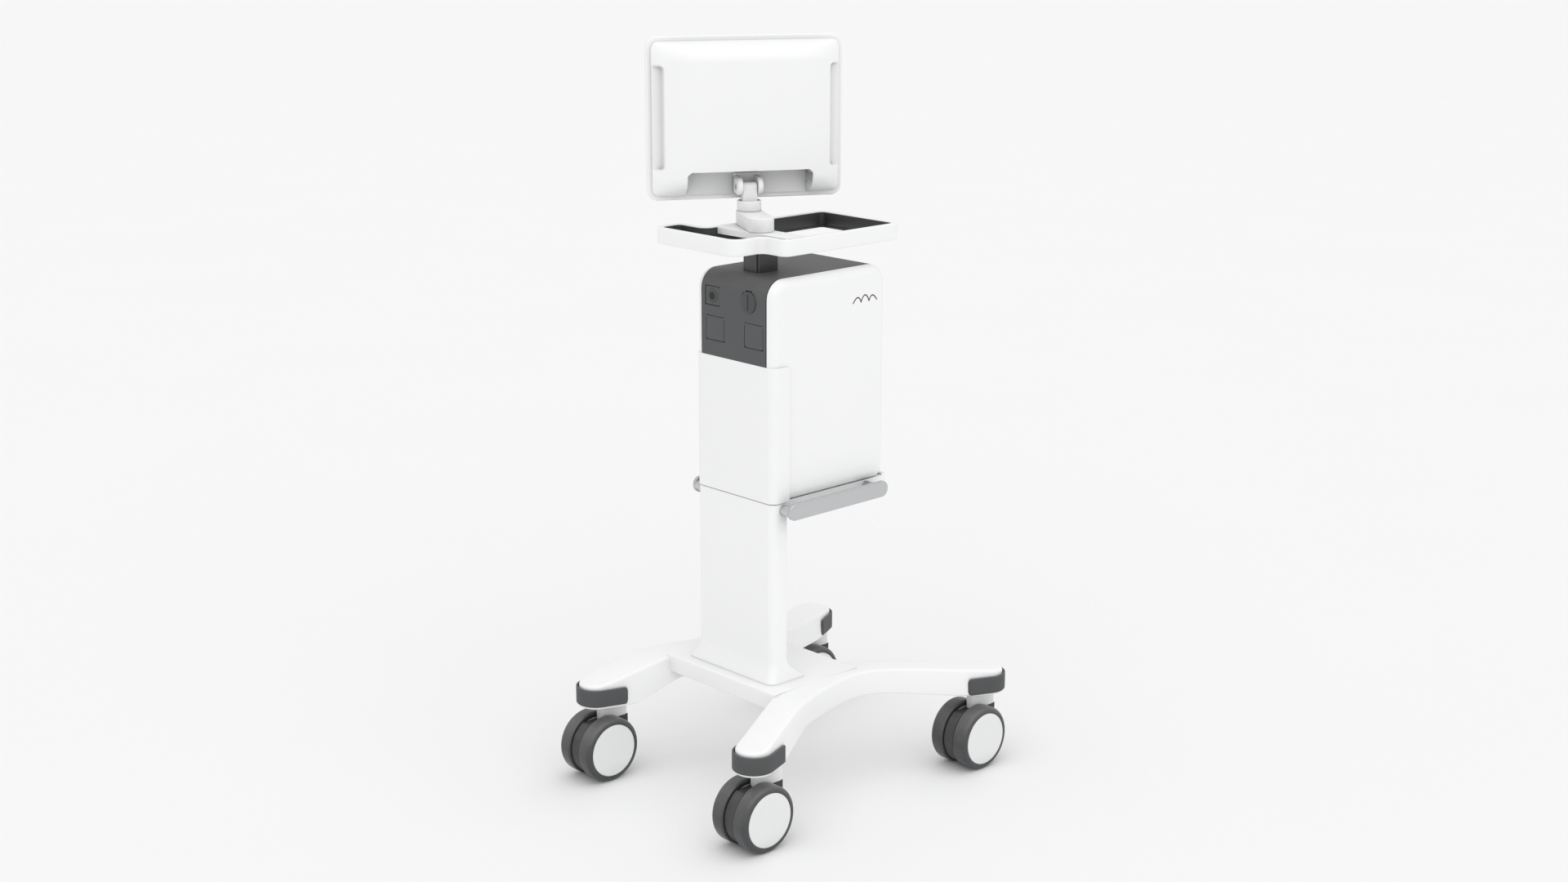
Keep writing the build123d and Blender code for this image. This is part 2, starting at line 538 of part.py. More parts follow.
# ---- tray and post ------------------------------------------------------------------
def post():
    half_w, half_d, top = POST_W / 2, POST_D / 2, TRAY_HIGH - PLATFORM_T
    shape = block(-half_w, half_w, POST_Y - half_d, POST_Y + half_d, BODY_HIGH, top)
    shape = fillet(shape.edges().filter_by(Axis.Z), POST_CORNER)
    shape += rod_z(POST_ROOT_R, BODY_HIGH - POST_ROOT, BODY_HIGH, 0, POST_Y)
    groove = block(-half_w - 1, -half_w + GROOVE_DEEP, GROOVE_FRONT, GROOVE_REAR, BODY_HIGH + 1, top - 1)
    shape -= groove + mirrored(groove)
    return shape - rod_z(ARM_SPIGOT_R + RUN_GAP, ARM_BORE_LOW, top + 1, 0, POST_Y)


def tray():
    outline = rounded_plan(TRAY_OUTLINE, TRAY_RADII)
    liner_outer = offset(outline, -RIM_T)
    liner_inner = offset(outline, -RIM_T - LINER_T)
    rim = plan_prism(outline, TRAY_LOW, TRAY_HIGH) - plan_prism(liner_outer, TRAY_LOW - 1, TRAY_HIGH + 1)
    save("tray_rim", fillet(rim.faces().sort_by(Axis.Z)[-1].outer_wire().edges(), RIM_EDGE))
    liner = plan_prism(liner_outer, TRAY_LOW + LINER_UP, TRAY_HIGH - LINER_DOWN)
    save("tray_liner", liner - plan_prism(liner_inner, TRAY_LOW, TRAY_HIGH))

    plate = plan_prism(liner_inner, TRAY_HIGH - PLATFORM_T, TRAY_HIGH + PLATFORM_PROUD)
    plate &= block(-FAR, FAR, PLATFORM_FRONT, PLATFORM_REAR, TRAY_LOW, TRAY_HIGH + 1)
    save("tray_platform", plate - rod_z(ARM_SPIGOT_R + RUN_GAP, TRAY_LOW, TRAY_HIGH + 1, 0, POST_Y))
    save("post", post())


# ---- arm, neck and monitor ----------------------------------------------------------
def swung(shape):
    return Pos(0, POST_Y, 0) * Rot(0, 0, SWING) * shape


def arm():
    link = Pos(0, -ARM_L / 2, 0) * plan_prism(Rectangle(2 * ARM_R, ARM_L), ARM_LOW, ARM_HIGH)
    link += rod_z(ARM_R, ARM_LOW, ARM_HIGH) + rod_z(ARM_R, ARM_LOW, ARM_HIGH, 0, -ARM_L)
    link = fillet(link.faces().sort_by(Axis.Z)[-1].edges(), ARM_EDGE)
    link -= rod_z(NECK_SPIGOT_R + RUN_GAP, ARM_HIGH - NECK_SPIGOT_L - 1, ARM_HIGH + 1, 0, -ARM_L)
    return link + rod_z(ARM_SPIGOT_R, ARM_SPIGOT_LOW, ARM_LOW)


def neck():
    """Collar that turns on the arm, with the tongue that carries the monitor hinge."""
    y, low = -ARM_L, ARM_HIGH + NECK_GAP
    collar = rod_z(NECK_R, low, NECK_TOP, 0, y)
    collar = fillet(collar.faces().sort_by(Axis.Z)[-1].edges(), NECK_EDGE)
    tongue = block(-TAB_HALF, TAB_HALF, y - TAB_T / 2, y + TAB_T / 2, NECK_TOP - 1, TILT_Z)
    tongue += rod_x(TAB_T / 2, -TAB_HALF, TAB_HALF, y, TILT_Z)
    tongue -= rod_x(PIN_R + RUN_GAP, -TAB_HALF - 1, TAB_HALF + 1, y, TILT_Z)
    return collar + tongue + rod_z(NECK_SPIGOT_R, ARM_HIGH - NECK_SPIGOT_L, low, 0, y)


def screen_block(frame, y0, y1, radius):
    """A rounded slab the size of the monitor less a frame all round."""
    outline = RectangleRounded(SCREEN_W - 2 * frame, SCREEN_H - 2 * frame, radius)
    return extrude(Plane.XZ.offset(-y1) * (Pos(0, SCREEN_Z) * outline), y1 - y0)


def pillow():
    """Lofted back: each section is drawn in and set further back along a quarter ellipse."""
    width, height = SCREEN_W - 2 * SHELL_MARGIN, SCREEN_H - 2 * SHELL_MARGIN
    last, sections = 4, []
    for step in range(last + 1):
        angle = step / last * math.pi / 2
        inset = 1 - math.cos(angle)
        plane = Plane.XZ.offset(-(SCREEN_BACK + SHELL_D * math.sin(angle)))
        outline = RectangleRounded(width - SHELL_SIDE_FALL * inset, height - SHELL_END_FALL * inset,
                                   SHELL_CORNER + SHELL_CORNER_GROW * inset)
        sections.append(plane * (Pos(0, SCREEN_Z) * outline))
    return loft(sections)


def monitor_shell():
    """Pillow-backed housing with side grips and a hinge bay open at the bottom."""
    shell = pillow()
    half = SCREEN_W / 2 - SHELL_MARGIN
    low = SCREEN_Z - SCREEN_H / 2
    bay = block(-BAY_HALF, BAY_HALF, SCREEN_BACK + SHELL_FLOOR, 0, low, BAY_TOP)
    shell -= fillet(bay.edges().filter_by(Axis.Y).group_by(Axis.Z)[-1], BAY_CORNER)
    grip = block(half - GRIP_W, half + 1, SCREEN_BACK + GRIP_FLOOR, 0, GRIP_LOW, GRIP_HIGH)
    shell -= grip + mirrored(grip)
    half, high = half - HOLLOW_SIDE, SCREEN_Z + SCREEN_H / 2 - SHELL_MARGIN - HOLLOW_END
    hollow = block(-half, half, SCREEN_BACK - 1, SCREEN_BACK + SHELL_D - HOLLOW_WALL, HOLLOW_LOW, high)
    return shell - hollow


def monitor_bezel(front):
    bezel = screen_block(0, front, SCREEN_BACK, BEZEL_R)
    for end in (-1, 0):
        bezel = fillet(bezel.faces().sort_by(Axis.Y)[end].edges(), BEZEL_EDGE)
    bezel -= screen_block(GLASS_FRAME, front - 1, front + GLASS_T, GLASS_R)
    return bezel - screen_block(PANEL_FRAME, front, SCREEN_BACK - BEZEL_BACK, PANEL_R)


def hinge_bracket():
    """Two ears on a foot plate in the monitor's bay, either side of the neck's tongue."""
    y, floor, reach = -ARM_L, SCREEN_BACK + SHELL_FLOOR, EAR_IN + EAR_T
    low, high = TILT_Z - BRACKET_DOWN, TILT_Z + BRACKET_UP
    ear = rod_x(EAR_R, EAR_IN, reach, y, TILT_Z)
    ear += block(EAR_IN, reach, floor, y, low, TILT_Z + BRACKET_DOWN)
    bracket = ear + mirrored(ear) + block(-reach, reach, floor, floor + BRACKET_T, low, high)
    return bracket - rod_x(PIN_R, -reach - 1, reach + 1, y, TILT_Z)


def monitor():
    front = SCREEN_BACK - BEZEL_T
    glass = screen_block(GLASS_FRAME + GLASS_GAP, front + GLASS_GAP, front + GLASS_T, GLASS_R - GLASS_GAP)
    panel = screen_block(PANEL_FRAME + PANEL_GAP, front + GLASS_T, SCREEN_BACK - BEZEL_BACK - GLASS_GAP,
                         PANEL_R - PANEL_GAP)
    pin = rod_x(PIN_R, -EAR_IN - EAR_T, EAR_IN + EAR_T, -ARM_L, TILT_Z)
    save("monitor_shell", swung(monitor_shell()))
    save("monitor_bezel", swung(monitor_bezel(front)))
    save("monitor_glass", swung(glass))
    save("display_panel", swung(panel))
    save("hinge_bracket", swung(hinge_bracket()))
    save("hinge_pin", swung(pin))


for caster_name, (stem_x, stem_y) in STEMS.items():
    caster(caster_name, stem_x, stem_y)
base()
column()
body()
tray()
save("arm", swung(arm()))
save("neck", swung(neck()))
monitor()
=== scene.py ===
import bpy
import json
from math import atan2, cos, pi, radians, sin
import numpy as np
from mathutils import Matrix, Vector


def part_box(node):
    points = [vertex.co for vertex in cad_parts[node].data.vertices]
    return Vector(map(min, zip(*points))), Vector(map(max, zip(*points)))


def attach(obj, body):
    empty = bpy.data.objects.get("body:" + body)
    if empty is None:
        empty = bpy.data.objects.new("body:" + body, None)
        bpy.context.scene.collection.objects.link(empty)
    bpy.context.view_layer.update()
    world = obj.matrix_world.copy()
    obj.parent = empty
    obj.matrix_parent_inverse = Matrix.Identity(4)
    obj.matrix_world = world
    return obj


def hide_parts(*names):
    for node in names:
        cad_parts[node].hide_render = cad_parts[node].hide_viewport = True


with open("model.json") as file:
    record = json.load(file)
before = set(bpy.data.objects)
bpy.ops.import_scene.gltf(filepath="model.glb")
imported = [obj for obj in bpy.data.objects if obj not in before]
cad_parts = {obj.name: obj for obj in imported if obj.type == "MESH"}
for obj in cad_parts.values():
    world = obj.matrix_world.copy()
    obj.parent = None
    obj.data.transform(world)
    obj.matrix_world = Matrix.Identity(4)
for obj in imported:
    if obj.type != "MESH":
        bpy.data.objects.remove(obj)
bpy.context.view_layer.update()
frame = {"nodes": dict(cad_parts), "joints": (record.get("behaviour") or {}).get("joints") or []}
joints = {joint["name"]: joint for joint in frame["joints"]}

# sizes are in millimetres, and become metres when a mesh is made
perMetre = 1000.0


def boxOf(node):
    low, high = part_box(node)
    return np.array(low) * perMetre, np.array(high) * perMetre


def midOf(node):
    low, high = boxOf(node)
    return (low + high) / 2


# shapes worked out as arrays

def roundedLoop(corners, radii, steps=10):
    # each corner of the polygon becomes an arc that touches both sides: with h half the corner's angle,
    # the arc's centre lies r / sin h along the bisector; the outward direction at a point leaves the centre
    # at an outer corner and enters it at an inner one
    corners = np.array(corners, float)
    radii = np.broadcast_to(np.array(radii, float), len(corners))
    before = np.roll(corners, 1, 0) - corners
    after = np.roll(corners, -1, 0) - corners
    before /= np.linalg.norm(before, axis=1, keepdims=True)
    after /= np.linalg.norm(after, axis=1, keepdims=True)
    half = np.arccos(np.clip((before * after).sum(1), -1, 1)) / 2
    bisector = before + after
    bisector /= np.linalg.norm(bisector, axis=1, keepdims=True)
    centres = corners + bisector * (radii / np.sin(half))[:, None]
    reach = (radii / np.tan(half))[:, None]
    first, last = corners + before * reach - centres, corners + after * reach - centres
    start = np.arctan2(first[:, 1], first[:, 0])
    sweep = np.arctan2(last[:, 1], last[:, 0]) - start
    sweep = (sweep + pi) % (2 * pi) - pi
    angles = start[:, None] + sweep[:, None] * np.linspace(0, 1, steps + 1)
    spokes = np.stack([np.cos(angles), np.sin(angles)], -1)
    points = centres[:, None] + radii[:, None, None] * spokes
    outward = spokes * np.sign(sweep)[:, None, None]
    return points.reshape(-1, 2), outward.reshape(-1, 2)


def rectangle(halfWidth, halfHeight, radius, steps=10, centre=(0, 0)):
    x, y = centre
    corners = [(x - halfWidth, y - halfHeight), (x + halfWidth, y - halfHeight),
               (x + halfWidth, y + halfHeight), (x - halfWidth, y + halfHeight)]
    return roundedLoop(corners, radius, steps)


def roundEdge(radius, steps=6, fromSide=True):
    # a quarter round: inset = r - r cos a, and height below the face = r - r sin a
    angles = np.linspace(0, pi / 2, steps + 1)
    if not fromSide:
        angles = angles[::-1]
    return radius - radius * np.cos(angles), radius - radius * np.sin(angles)


def carried(loop, profile):
    # a profile of (inset, height) carried round a loop: point = loop - inset x outward, at that height
    points, outward = loop
    profile = np.array(profile, float)
    flat = points[None] - profile[:, :1, None] * outward[None]
    height = np.broadcast_to(profile[:, 1:, None], flat.shape[:2] + (1,))
    return np.concatenate([flat, height], -1)


def slabProfile(low, high, lowRadius, highRadius, steps=6):
    inset, drop = roundEdge(lowRadius, steps, fromSide=False)
    foot = np.stack([inset, low + drop], 1)
    inset, drop = roundEdge(highRadius, steps)
    return np.concatenate([foot, np.stack([inset, high - drop], 1)])


def turned(profile, steps=72):
    # a closed profile of (along, radius) turned about the first axis
    profile = np.array(profile, float)
    angles = np.linspace(0, 2 * pi, steps, endpoint=False)
    along = np.broadcast_to(profile[:, :1], (len(profile), steps))
    return np.stack([along, profile[:, 1:] * np.cos(angles), profile[:, 1:] * np.sin(angles)], -1)


def gridQuads(rows, columns, wrapRows, wrapColumns):
    i = np.arange(rows if wrapRows else rows - 1)[:, None]
    j = np.arange(columns if wrapColumns else columns - 1)[None]
    nextRow, nextColumn = (i + 1) % rows, (j + 1) % columns
    quads = [i * columns + j, i * columns + nextColumn, nextRow * columns + nextColumn, nextRow * columns + j]
    return np.stack(np.broadcast_arrays(*quads), -1).reshape(-1, 4)


def shell(rings, ends="flat"):
    # rings of points joined by quads; the ends are flat faces, a ladder of quads across a long shape,
    # or the last ring joins the first
    rings = np.asarray(rings, float)
    rows, columns = rings.shape[:2]
    quads = gridQuads(rows, columns, ends == "ring", True)
    faces = [quads]
    if ends == "flat":
        faces += [np.arange(columns)[None, ::-1], (rows - 1) * columns + np.arange(columns)[None]]
    if ends == "ladder":
        left = np.arange(columns // 2 - 1)
        rungs = np.stack([left, left + 1, columns - 2 - left, columns - 1 - left], 1)
        faces += [rungs[:, ::-1], rungs + (rows - 1) * columns]
    points = rings.reshape(-1, 3)
    volume = sum(signedVolume(points, face) for face in faces)
    if volume < 0:
        faces = [face[:, ::-1] for face in faces]
    return points, faces


def signedVolume(points, face):
    # sum of the tetrahedra from the origin to each face's fan of triangles
    first = points[face[:, 0]]
    return sum(np.einsum("ij,ij->", first, np.cross(points[face[:, k]], points[face[:, k + 1]]))
               for k in range(1, face.shape[1] - 1))


def addPiece(name, shells, material, body, stands=(), bevel=0.0, crease=38):
    points, faces, count = [], [], 0
    for shellPoints, shellFaces in shells:
        points.append(shellPoints)
        faces += [row for face in shellFaces for row in (face + count).tolist()]
        count += len(shellPoints)
    mesh = bpy.data.meshes.new(name)
    mesh.from_pydata((np.concatenate(points) / perMetre).tolist(), [], faces)
    mesh.shade_smooth()
    mesh.set_sharp_from_angle(angle=radians(crease))
    mesh.materials.append(material)
    piece = bpy.data.objects.new(name, mesh)
    bpy.context.scene.collection.objects.link(piece)
    if bevel:
        rounding = piece.modifiers.new("edges", "BEVEL")
        rounding.width = bevel / perMetre
        rounding.segments = 3
        rounding.limit_method = "ANGLE"
        rounding.angle_limit = radians(crease)
    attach(piece, body)
    if stands:
        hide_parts(*stands)
    return piece


def mirroredX(shells):
    flip = np.array([-1.0, 1.0, 1.0])
    return [(points * flip, [face[:, ::-1] for face in faces]) for points, faces in shells]


# finishes

def makeGroup(name, inputs, outputs):
    group = bpy.data.node_groups.new(name, "ShaderNodeTree")
    for label, kind, value in inputs:
        socket = group.interface.new_socket(label, in_out="INPUT", socket_type=kind)
        if value is not None:
            socket.default_value = value
    for label, kind in outputs:
        group.interface.new_socket(label, in_out="OUTPUT", socket_type=kind)
    return group, group.nodes.new("NodeGroupInput"), group.nodes.new("NodeGroupOutput")


def addNode(tree, kind, **values):
    node = tree.nodes.new(kind)
    for key, value in values.items():
        if key in node.inputs.keys():
            node.inputs[key].default_value = value
        else:
            setattr(node, key, value)
    return node


def arithmetic(tree, operation, *values):
    node = tree.nodes.new("ShaderNodeMath")
    node.operation = operation
    for socket, value in zip(node.inputs, values):
        if isinstance(value, (int, float)):
            socket.default_value = value
        else:
            tree.links.new(value, socket)
    return node.outputs[0]


def mouldGrain():
    # spark-eroded mould texture: fine grain for the bump, and slow patches where the gloss drifts
    group, inside, outside = makeGroup(
        "mouldGrain",
        [("Position", "NodeSocketVector", None), ("Grain scale", "NodeSocketFloat", 900.0),
         ("Patch scale", "NodeSocketFloat", 7.0)],
        [("Height", "NodeSocketFloat"), ("Patch", "NodeSocketFloat")])
    fine = addNode(group, "ShaderNodeTexNoise", Detail=3.0, Roughness=0.6)
    pits = addNode(group, "ShaderNodeTexVoronoi", feature="F1")
    broad = addNode(group, "ShaderNodeTexNoise", Detail=4.0, Roughness=0.55)
    for node, scale in ((fine, "Grain scale"), (pits, "Grain scale"), (broad, "Patch scale")):
        group.links.new(inside.outputs["Position"], node.inputs["Vector"])
        group.links.new(inside.outputs[scale], node.inputs["Scale"])
    mixed = arithmetic(group, "MULTIPLY", fine.outputs["Fac"], pits.outputs["Distance"])
    group.links.new(mixed, outside.inputs["Height"])
    group.links.new(broad.outputs["Fac"], outside.inputs["Patch"])
    return group


def rubbedEdges():
    # where edges stick out and hands, trolleys and door frames polish them, broken up by noise
    group, inside, outside = makeGroup(
        "rubbedEdges",
        [("Position", "NodeSocketVector", None), ("Reach", "NodeSocketFloat", 0.56)],
        [("Mask", "NodeSocketFloat")])
    shape = group.nodes.new("ShaderNodeNewGeometry")
    noise = addNode(group, "ShaderNodeTexNoise", Scale=60.0, Detail=4.0)
    group.links.new(inside.outputs["Position"], noise.inputs["Vector"])
    edge = arithmetic(group, "SUBTRACT", shape.outputs["Pointiness"], inside.outputs["Reach"])
    edge = arithmetic(group, "MULTIPLY", edge, 14.0)
    mask = arithmetic(group, "MULTIPLY", edge, noise.outputs["Fac"])
    clamp = group.nodes.new("ShaderNodeClamp")
    group.links.new(mask, clamp.inputs["Value"])
    group.links.new(clamp.outputs[0], outside.inputs["Mask"])
    return group


def settledDust():
    # a thin film on faces that look up, uneven where it has been wiped
    group, inside, outside = makeGroup(
        "settledDust",
        [("Position", "NodeSocketVector", None), ("Amount", "NodeSocketFloat", 0.2)],
        [("Mask", "NodeSocketFloat")])
    shape = group.nodes.new("ShaderNodeNewGeometry")
    split = group.nodes.new("ShaderNodeSeparateXYZ")
    wiped = addNode(group, "ShaderNodeTexNoise", Scale=11.0, Detail=6.0, Roughness=0.7)
    group.links.new(inside.outputs["Position"], wiped.inputs["Vector"])
    group.links.new(shape.outputs["Normal"], split.inputs[0])
    up = arithmetic(group, "MAXIMUM", split.outputs["Z"], 0.0)
    film = arithmetic(group, "MULTIPLY", up, wiped.outputs["Fac"])
    group.links.new(arithmetic(group, "MULTIPLY", film, inside.outputs["Amount"]), outside.inputs["Mask"])
    return group


def cornerShade():
    # painted shade: corners and hollows that light hardly reaches are darkened in the base colour, found by
    # ambient occlusion and broken up by noise
    group, inside, outside = makeGroup(
        "cornerShade",
        [("Position", "NodeSocketVector", None), ("Reach", "NodeSocketFloat", 0.05),
         ("Amount", "NodeSocketFloat", 0.4)],
        [("Mask", "NodeSocketFloat")])
    nearby = addNode(group, "ShaderNodeAmbientOcclusion", samples=6)
    uneven = addNode(group, "ShaderNodeTexNoise", Scale=18.0, Detail=3.0)
    group.links.new(inside.outputs["Position"], uneven.inputs["Vector"])
    group.links.new(inside.outputs["Reach"], nearby.inputs["Distance"])
    closed = arithmetic(group, "SUBTRACT", 1.0, nearby.outputs["AO"])
    broken = arithmetic(group, "ADD", arithmetic(group, "MULTIPLY", uneven.outputs["Fac"], 0.25), 0.875)
    closed = arithmetic(group, "MULTIPLY", closed, broken)
    group.links.new(arithmetic(group, "MULTIPLY", closed, inside.outputs["Amount"]), outside.inputs["Mask"])
    return group


groups = {"grain": mouldGrain(), "rubbed": rubbedEdges(), "dust": settledDust(), "corner": cornerShade()}


def placeGroup(tree, key, position, **values):
    node = tree.nodes.new("ShaderNodeGroup")
    node.node_tree = groups[key]
    tree.links.new(position, node.inputs["Position"])
    for label, value in values.items():
        node.inputs[label.replace("_", " ")].default_value = value
    return node


def blendColour(tree, factor, a, b):
    node = tree.nodes.new("ShaderNodeMix")
    node.data_type = "RGBA"
    tree.links.new(factor, node.inputs["Factor"])
    for socket, value in ((node.inputs[6], a), (node.inputs[7], b)):
        if isinstance(value, tuple):
            socket.default_value = (*value, 1.0)
        else:
            tree.links.new(value, socket)
    return node.outputs[2]


def finish(name, colour, worn, dust=(0.62, 0.60, 0.57), roughness=0.45, drift=0.12, grain=900.0,
           depth=0.00004, dusty=0.12, metallic=0.0, coat=0.0, coatRoughness=0.1, specular=0.5,
           patchTint=0.03, reach=0.56,
           shade=0.5, shadeReach=0.04):
    material = bpy.data.materials.new(name)
    material.use_nodes = True
    tree = material.node_tree
    shader = tree.nodes["Principled BSDF"]
    place = tree.nodes.new("ShaderNodeTexCoord").outputs["Object"]
    texture = placeGroup(tree, "grain", place, Grain_scale=grain)
    edges = placeGroup(tree, "rubbed", place, Reach=reach)
    film = placeGroup(tree, "dust", place, Amount=dusty)
    corner = placeGroup(tree, "corner", place, Reach=shadeReach, Amount=shade)

    darker = tuple(c * (1 - patchTint) for c in colour)
    base = blendColour(tree, texture.outputs["Patch"], colour, darker)
    base = blendColour(tree, edges.outputs["Mask"], base, worn)
    base = blendColour(tree, film.outputs["Mask"], base, dust)
    # painted shade: corners and hollows darken towards 0.3 of the colour, by the cornerShade mask
    base = blendColour(tree, corner.outputs["Mask"], base, tuple(c * 0.3 for c in colour))
    tree.links.new(base, shader.inputs["Base Color"])

    gloss = arithmetic(tree, "MULTIPLY_ADD", texture.outputs["Patch"], drift, roughness - drift / 2)
    gloss = arithmetic(tree, "ADD", gloss, arithmetic(tree, "MULTIPLY", film.outputs["Mask"], 0.3))
    tree.links.new(gloss, shader.inputs["Roughness"])

    bump = addNode(tree, "ShaderNodeBump", Strength=0.6, Distance=depth)
    tree.links.new(texture.outputs["Height"], bump.inputs["Height"])
    tree.links.new(bump.outputs["Normal"], shader.inputs["Normal"])

    shader.inputs["Metallic"].default_value = metallic
    shader.inputs["Coat Weight"].default_value = coat
    shader.inputs["Coat Roughness"].default_value = coatRoughness
    shader.inputs["Specular IOR Level"].default_value = specular
    return material


whitePlastic = finish("whitePlastic", (0.925, 0.928, 0.93), (0.94, 0.94, 0.94), roughness=0.42, dusty=0.05,
                      patchTint=0.012)
# a copy of whitePlastic with stronger, farther-reaching painted shade, which darkens the grip pockets and the
# hinge bay of the monitor's back
monitorPlastic = finish("monitorPlastic", (0.925, 0.928, 0.93), (0.94, 0.94, 0.94), roughness=0.42,
                        dusty=0.05, patchTint=0.012, shade=0.8, shadeReach=0.1)
whiteCoat = finish("whiteCoat", (0.925, 0.927, 0.93), (0.94, 0.94, 0.94), roughness=0.38, grain=500.0,
                   depth=0.00008, dusty=0.06, patchTint=0.012)
wheelCap = finish("wheelCap", (0.82, 0.825, 0.83), (0.86, 0.86, 0.86), roughness=0.34, coat=0.15, dusty=0.05)
greyPlastic = finish("greyPlastic", (0.078, 0.08, 0.083), (0.17, 0.17, 0.175), roughness=0.5, grain=750.0,
                     depth=0.0001, dusty=0.16, patchTint=0.08)
darkPlastic = finish("darkPlastic", (0.055, 0.056, 0.058), (0.11, 0.11, 0.112), roughness=0.46, grain=800.0,
                     depth=0.00008, patchTint=0.1)
postPlastic = finish("postPlastic", (0.05, 0.051, 0.053), (0.09, 0.09, 0.092), roughness=0.32, patchTint=0.1)
linerRubber = finish("linerRubber", (0.045, 0.046, 0.048), (0.08, 0.08, 0.082), roughness=0.36, grain=600.0,
                     depth=0.0001, patchTint=0.12)
bumperRubber = finish("bumperRubber", (0.075, 0.077, 0.08), (0.13, 0.13, 0.132), roughness=0.62, grain=650.0,
                      depth=0.00014, dusty=0.2, patchTint=0.15)
tyreRubber = finish("tyreRubber", (0.055, 0.057, 0.06), (0.09, 0.09, 0.092), roughness=0.26, drift=0.2,
                    grain=420.0, depth=0.0001, dusty=0.3, patchTint=0.2)
railMetal = finish("railMetal", (0.56, 0.57, 0.58), (0.72, 0.72, 0.72), roughness=0.36, metallic=0.75,
                   grain=1300.0, depth=0.00002, patchTint=0.04)
steel = finish("steel", (0.55, 0.55, 0.56), (0.7, 0.7, 0.7), roughness=0.28, metallic=1.0, grain=1500.0,
               depth=0.00002, patchTint=0.06)
# near-black painted shadow, standing in for the shade inside the lock's coin slot and the socket's bore
slotBlack = finish("slotBlack", (0.006, 0.006, 0.007), (0.02, 0.02, 0.02), roughness=0.6, dusty=0.02)
webPlastic = finish("webPlastic", (0.02, 0.02, 0.021), (0.06, 0.06, 0.06), roughness=0.5, dusty=0.1)
innerPlastic = finish("innerPlastic", (0.05, 0.055, 0.06), (0.1, 0.1, 0.1), roughness=0.55)
cellWrap = finish("cellWrap", (0.03, 0.07, 0.14), (0.1, 0.14, 0.2), roughness=0.3)
circuitGreen = finish("circuitGreen", (0.02, 0.12, 0.05), (0.1, 0.2, 0.1), roughness=0.4)
screenFace = finish("screenFace", (0.006, 0.007, 0.009), (0.01, 0.01, 0.012), roughness=0.2, dusty=0.02)
printInk = finish("printInk", (0.035, 0.036, 0.038), (0.08, 0.08, 0.08), roughness=0.4)


def glassFinish(name):
    material = bpy.data.materials.new(name)
    material.use_nodes = True
    tree = material.node_tree
    shader = tree.nodes["Principled BSDF"]
    place = tree.nodes.new("ShaderNodeTexCoord").outputs["Object"]
    film = placeGroup(tree, "dust", place, Amount=0.1)
    smear = addNode(tree, "ShaderNodeTexNoise", Scale=24.0, Detail=5.0, Distortion=1.2)
    tree.links.new(place, smear.inputs["Vector"])
    gloss = arithmetic(tree, "MULTIPLY", smear.outputs["Fac"], 0.09)
    tree.links.new(arithmetic(tree, "ADD", gloss, film.outputs["Mask"]), shader.inputs["Roughness"])
    shader.inputs["Base Color"].default_value = (0.9, 0.92, 0.95, 1.0)
    shader.inputs["Transmission Weight"].default_value = 1.0
    shader.inputs["IOR"].default_value = 1.5
    return material


screenGlass = glassFinish("screenGlass")
print("finishes made")


# casters

casterNames = ("rear_left", "rear_right", "front_left", "front_right")
caster = {"tyreShoulder": 8.5, "tyreInnerEdge": 4.0, "tyreLip": 0.8, "tyreProud": 1.6, "webGap": 2.5,
          "capRadius": 51.0, "capGap": 0.2, "capEdge": 1.6, "capDish": 0.7, "hubRadius": 2.0,
          "hornEdge": 3.0, "hornLowEdge": 1.5, "hornCorner": 8.0}


def makeWheels(name):
    c = caster
    low, high = boxOf(f"caster_{name}_tyres")
    mid = (low + high) / 2
    wheelRadius = (high[2] - low[2]) / 2
    outer = (high[0] - low[0]) / 2 + c["tyreProud"]
    inner = boxOf(f"caster_{name}_web")[1][0] - mid[0] + c["webGap"]
    bore = c["capRadius"] + c["capGap"]
    corners = [(outer, bore), (outer, wheelRadius), (inner, wheelRadius), (inner, bore)]
    radii = [c["tyreLip"], c["tyreShoulder"], c["tyreInnerEdge"], c["tyreLip"]]
    tyreProfile = roundedLoop(corners, radii, 10)[0]

    # the cap's face sinks as the square of the distance from its rim
    face = boxOf(f"caster_{name}_caps")[1][0] - mid[0]
    edge, drop = roundEdge(c["capEdge"], 6)
    rim = np.stack([face - drop, c["capRadius"] - edge], 1)
    dish = np.linspace(1, 0.02, 10)
    middle = np.stack([face - c["capDish"] * (1 - dish ** 2), (c["capRadius"] - c["capEdge"]) * dish], 1)
    back = [(inner + 1, c["hubRadius"]), (inner + 1, c["capRadius"])]
    capProfile = np.concatenate([back, rim, middle[1:]])

    tyres, caps = [], []
    for side in (-1, 1):
        toSide = np.array([side, 1.0])
        tyres.append(shell(turned(tyreProfile * toSide) + mid, "ring"))
        caps.append(shell(turned(capProfile * toSide) + mid))
    addPiece(f"tyres_{name}", tyres, tyreRubber, f"wheels_{name}", [f"caster_{name}_tyres"])
    addPiece(f"wheelCaps_{name}", caps, wheelCap, f"wheels_{name}", [f"caster_{name}_caps"])


def makeHorn(name):
    low, high = boxOf(f"caster_{name}_horn")
    mid, half = (low + high) / 2, (high - low) / 2
    plan = rectangle(half[0], half[1], caster["hornCorner"], centre=mid[:2])
    horn = shell(carried(plan, slabProfile(low[2], high[2], caster["hornLowEdge"], caster["hornEdge"])))
    addPiece(f"horn_{name}", [horn], whitePlastic, f"swivel_{name}", [f"caster_{name}_horn"])


for casterName in casterNames:
    makeWheels(casterName)
    makeHorn(casterName)
print("casters made")


# base: two bowed side members, their bumpers and the centre plate

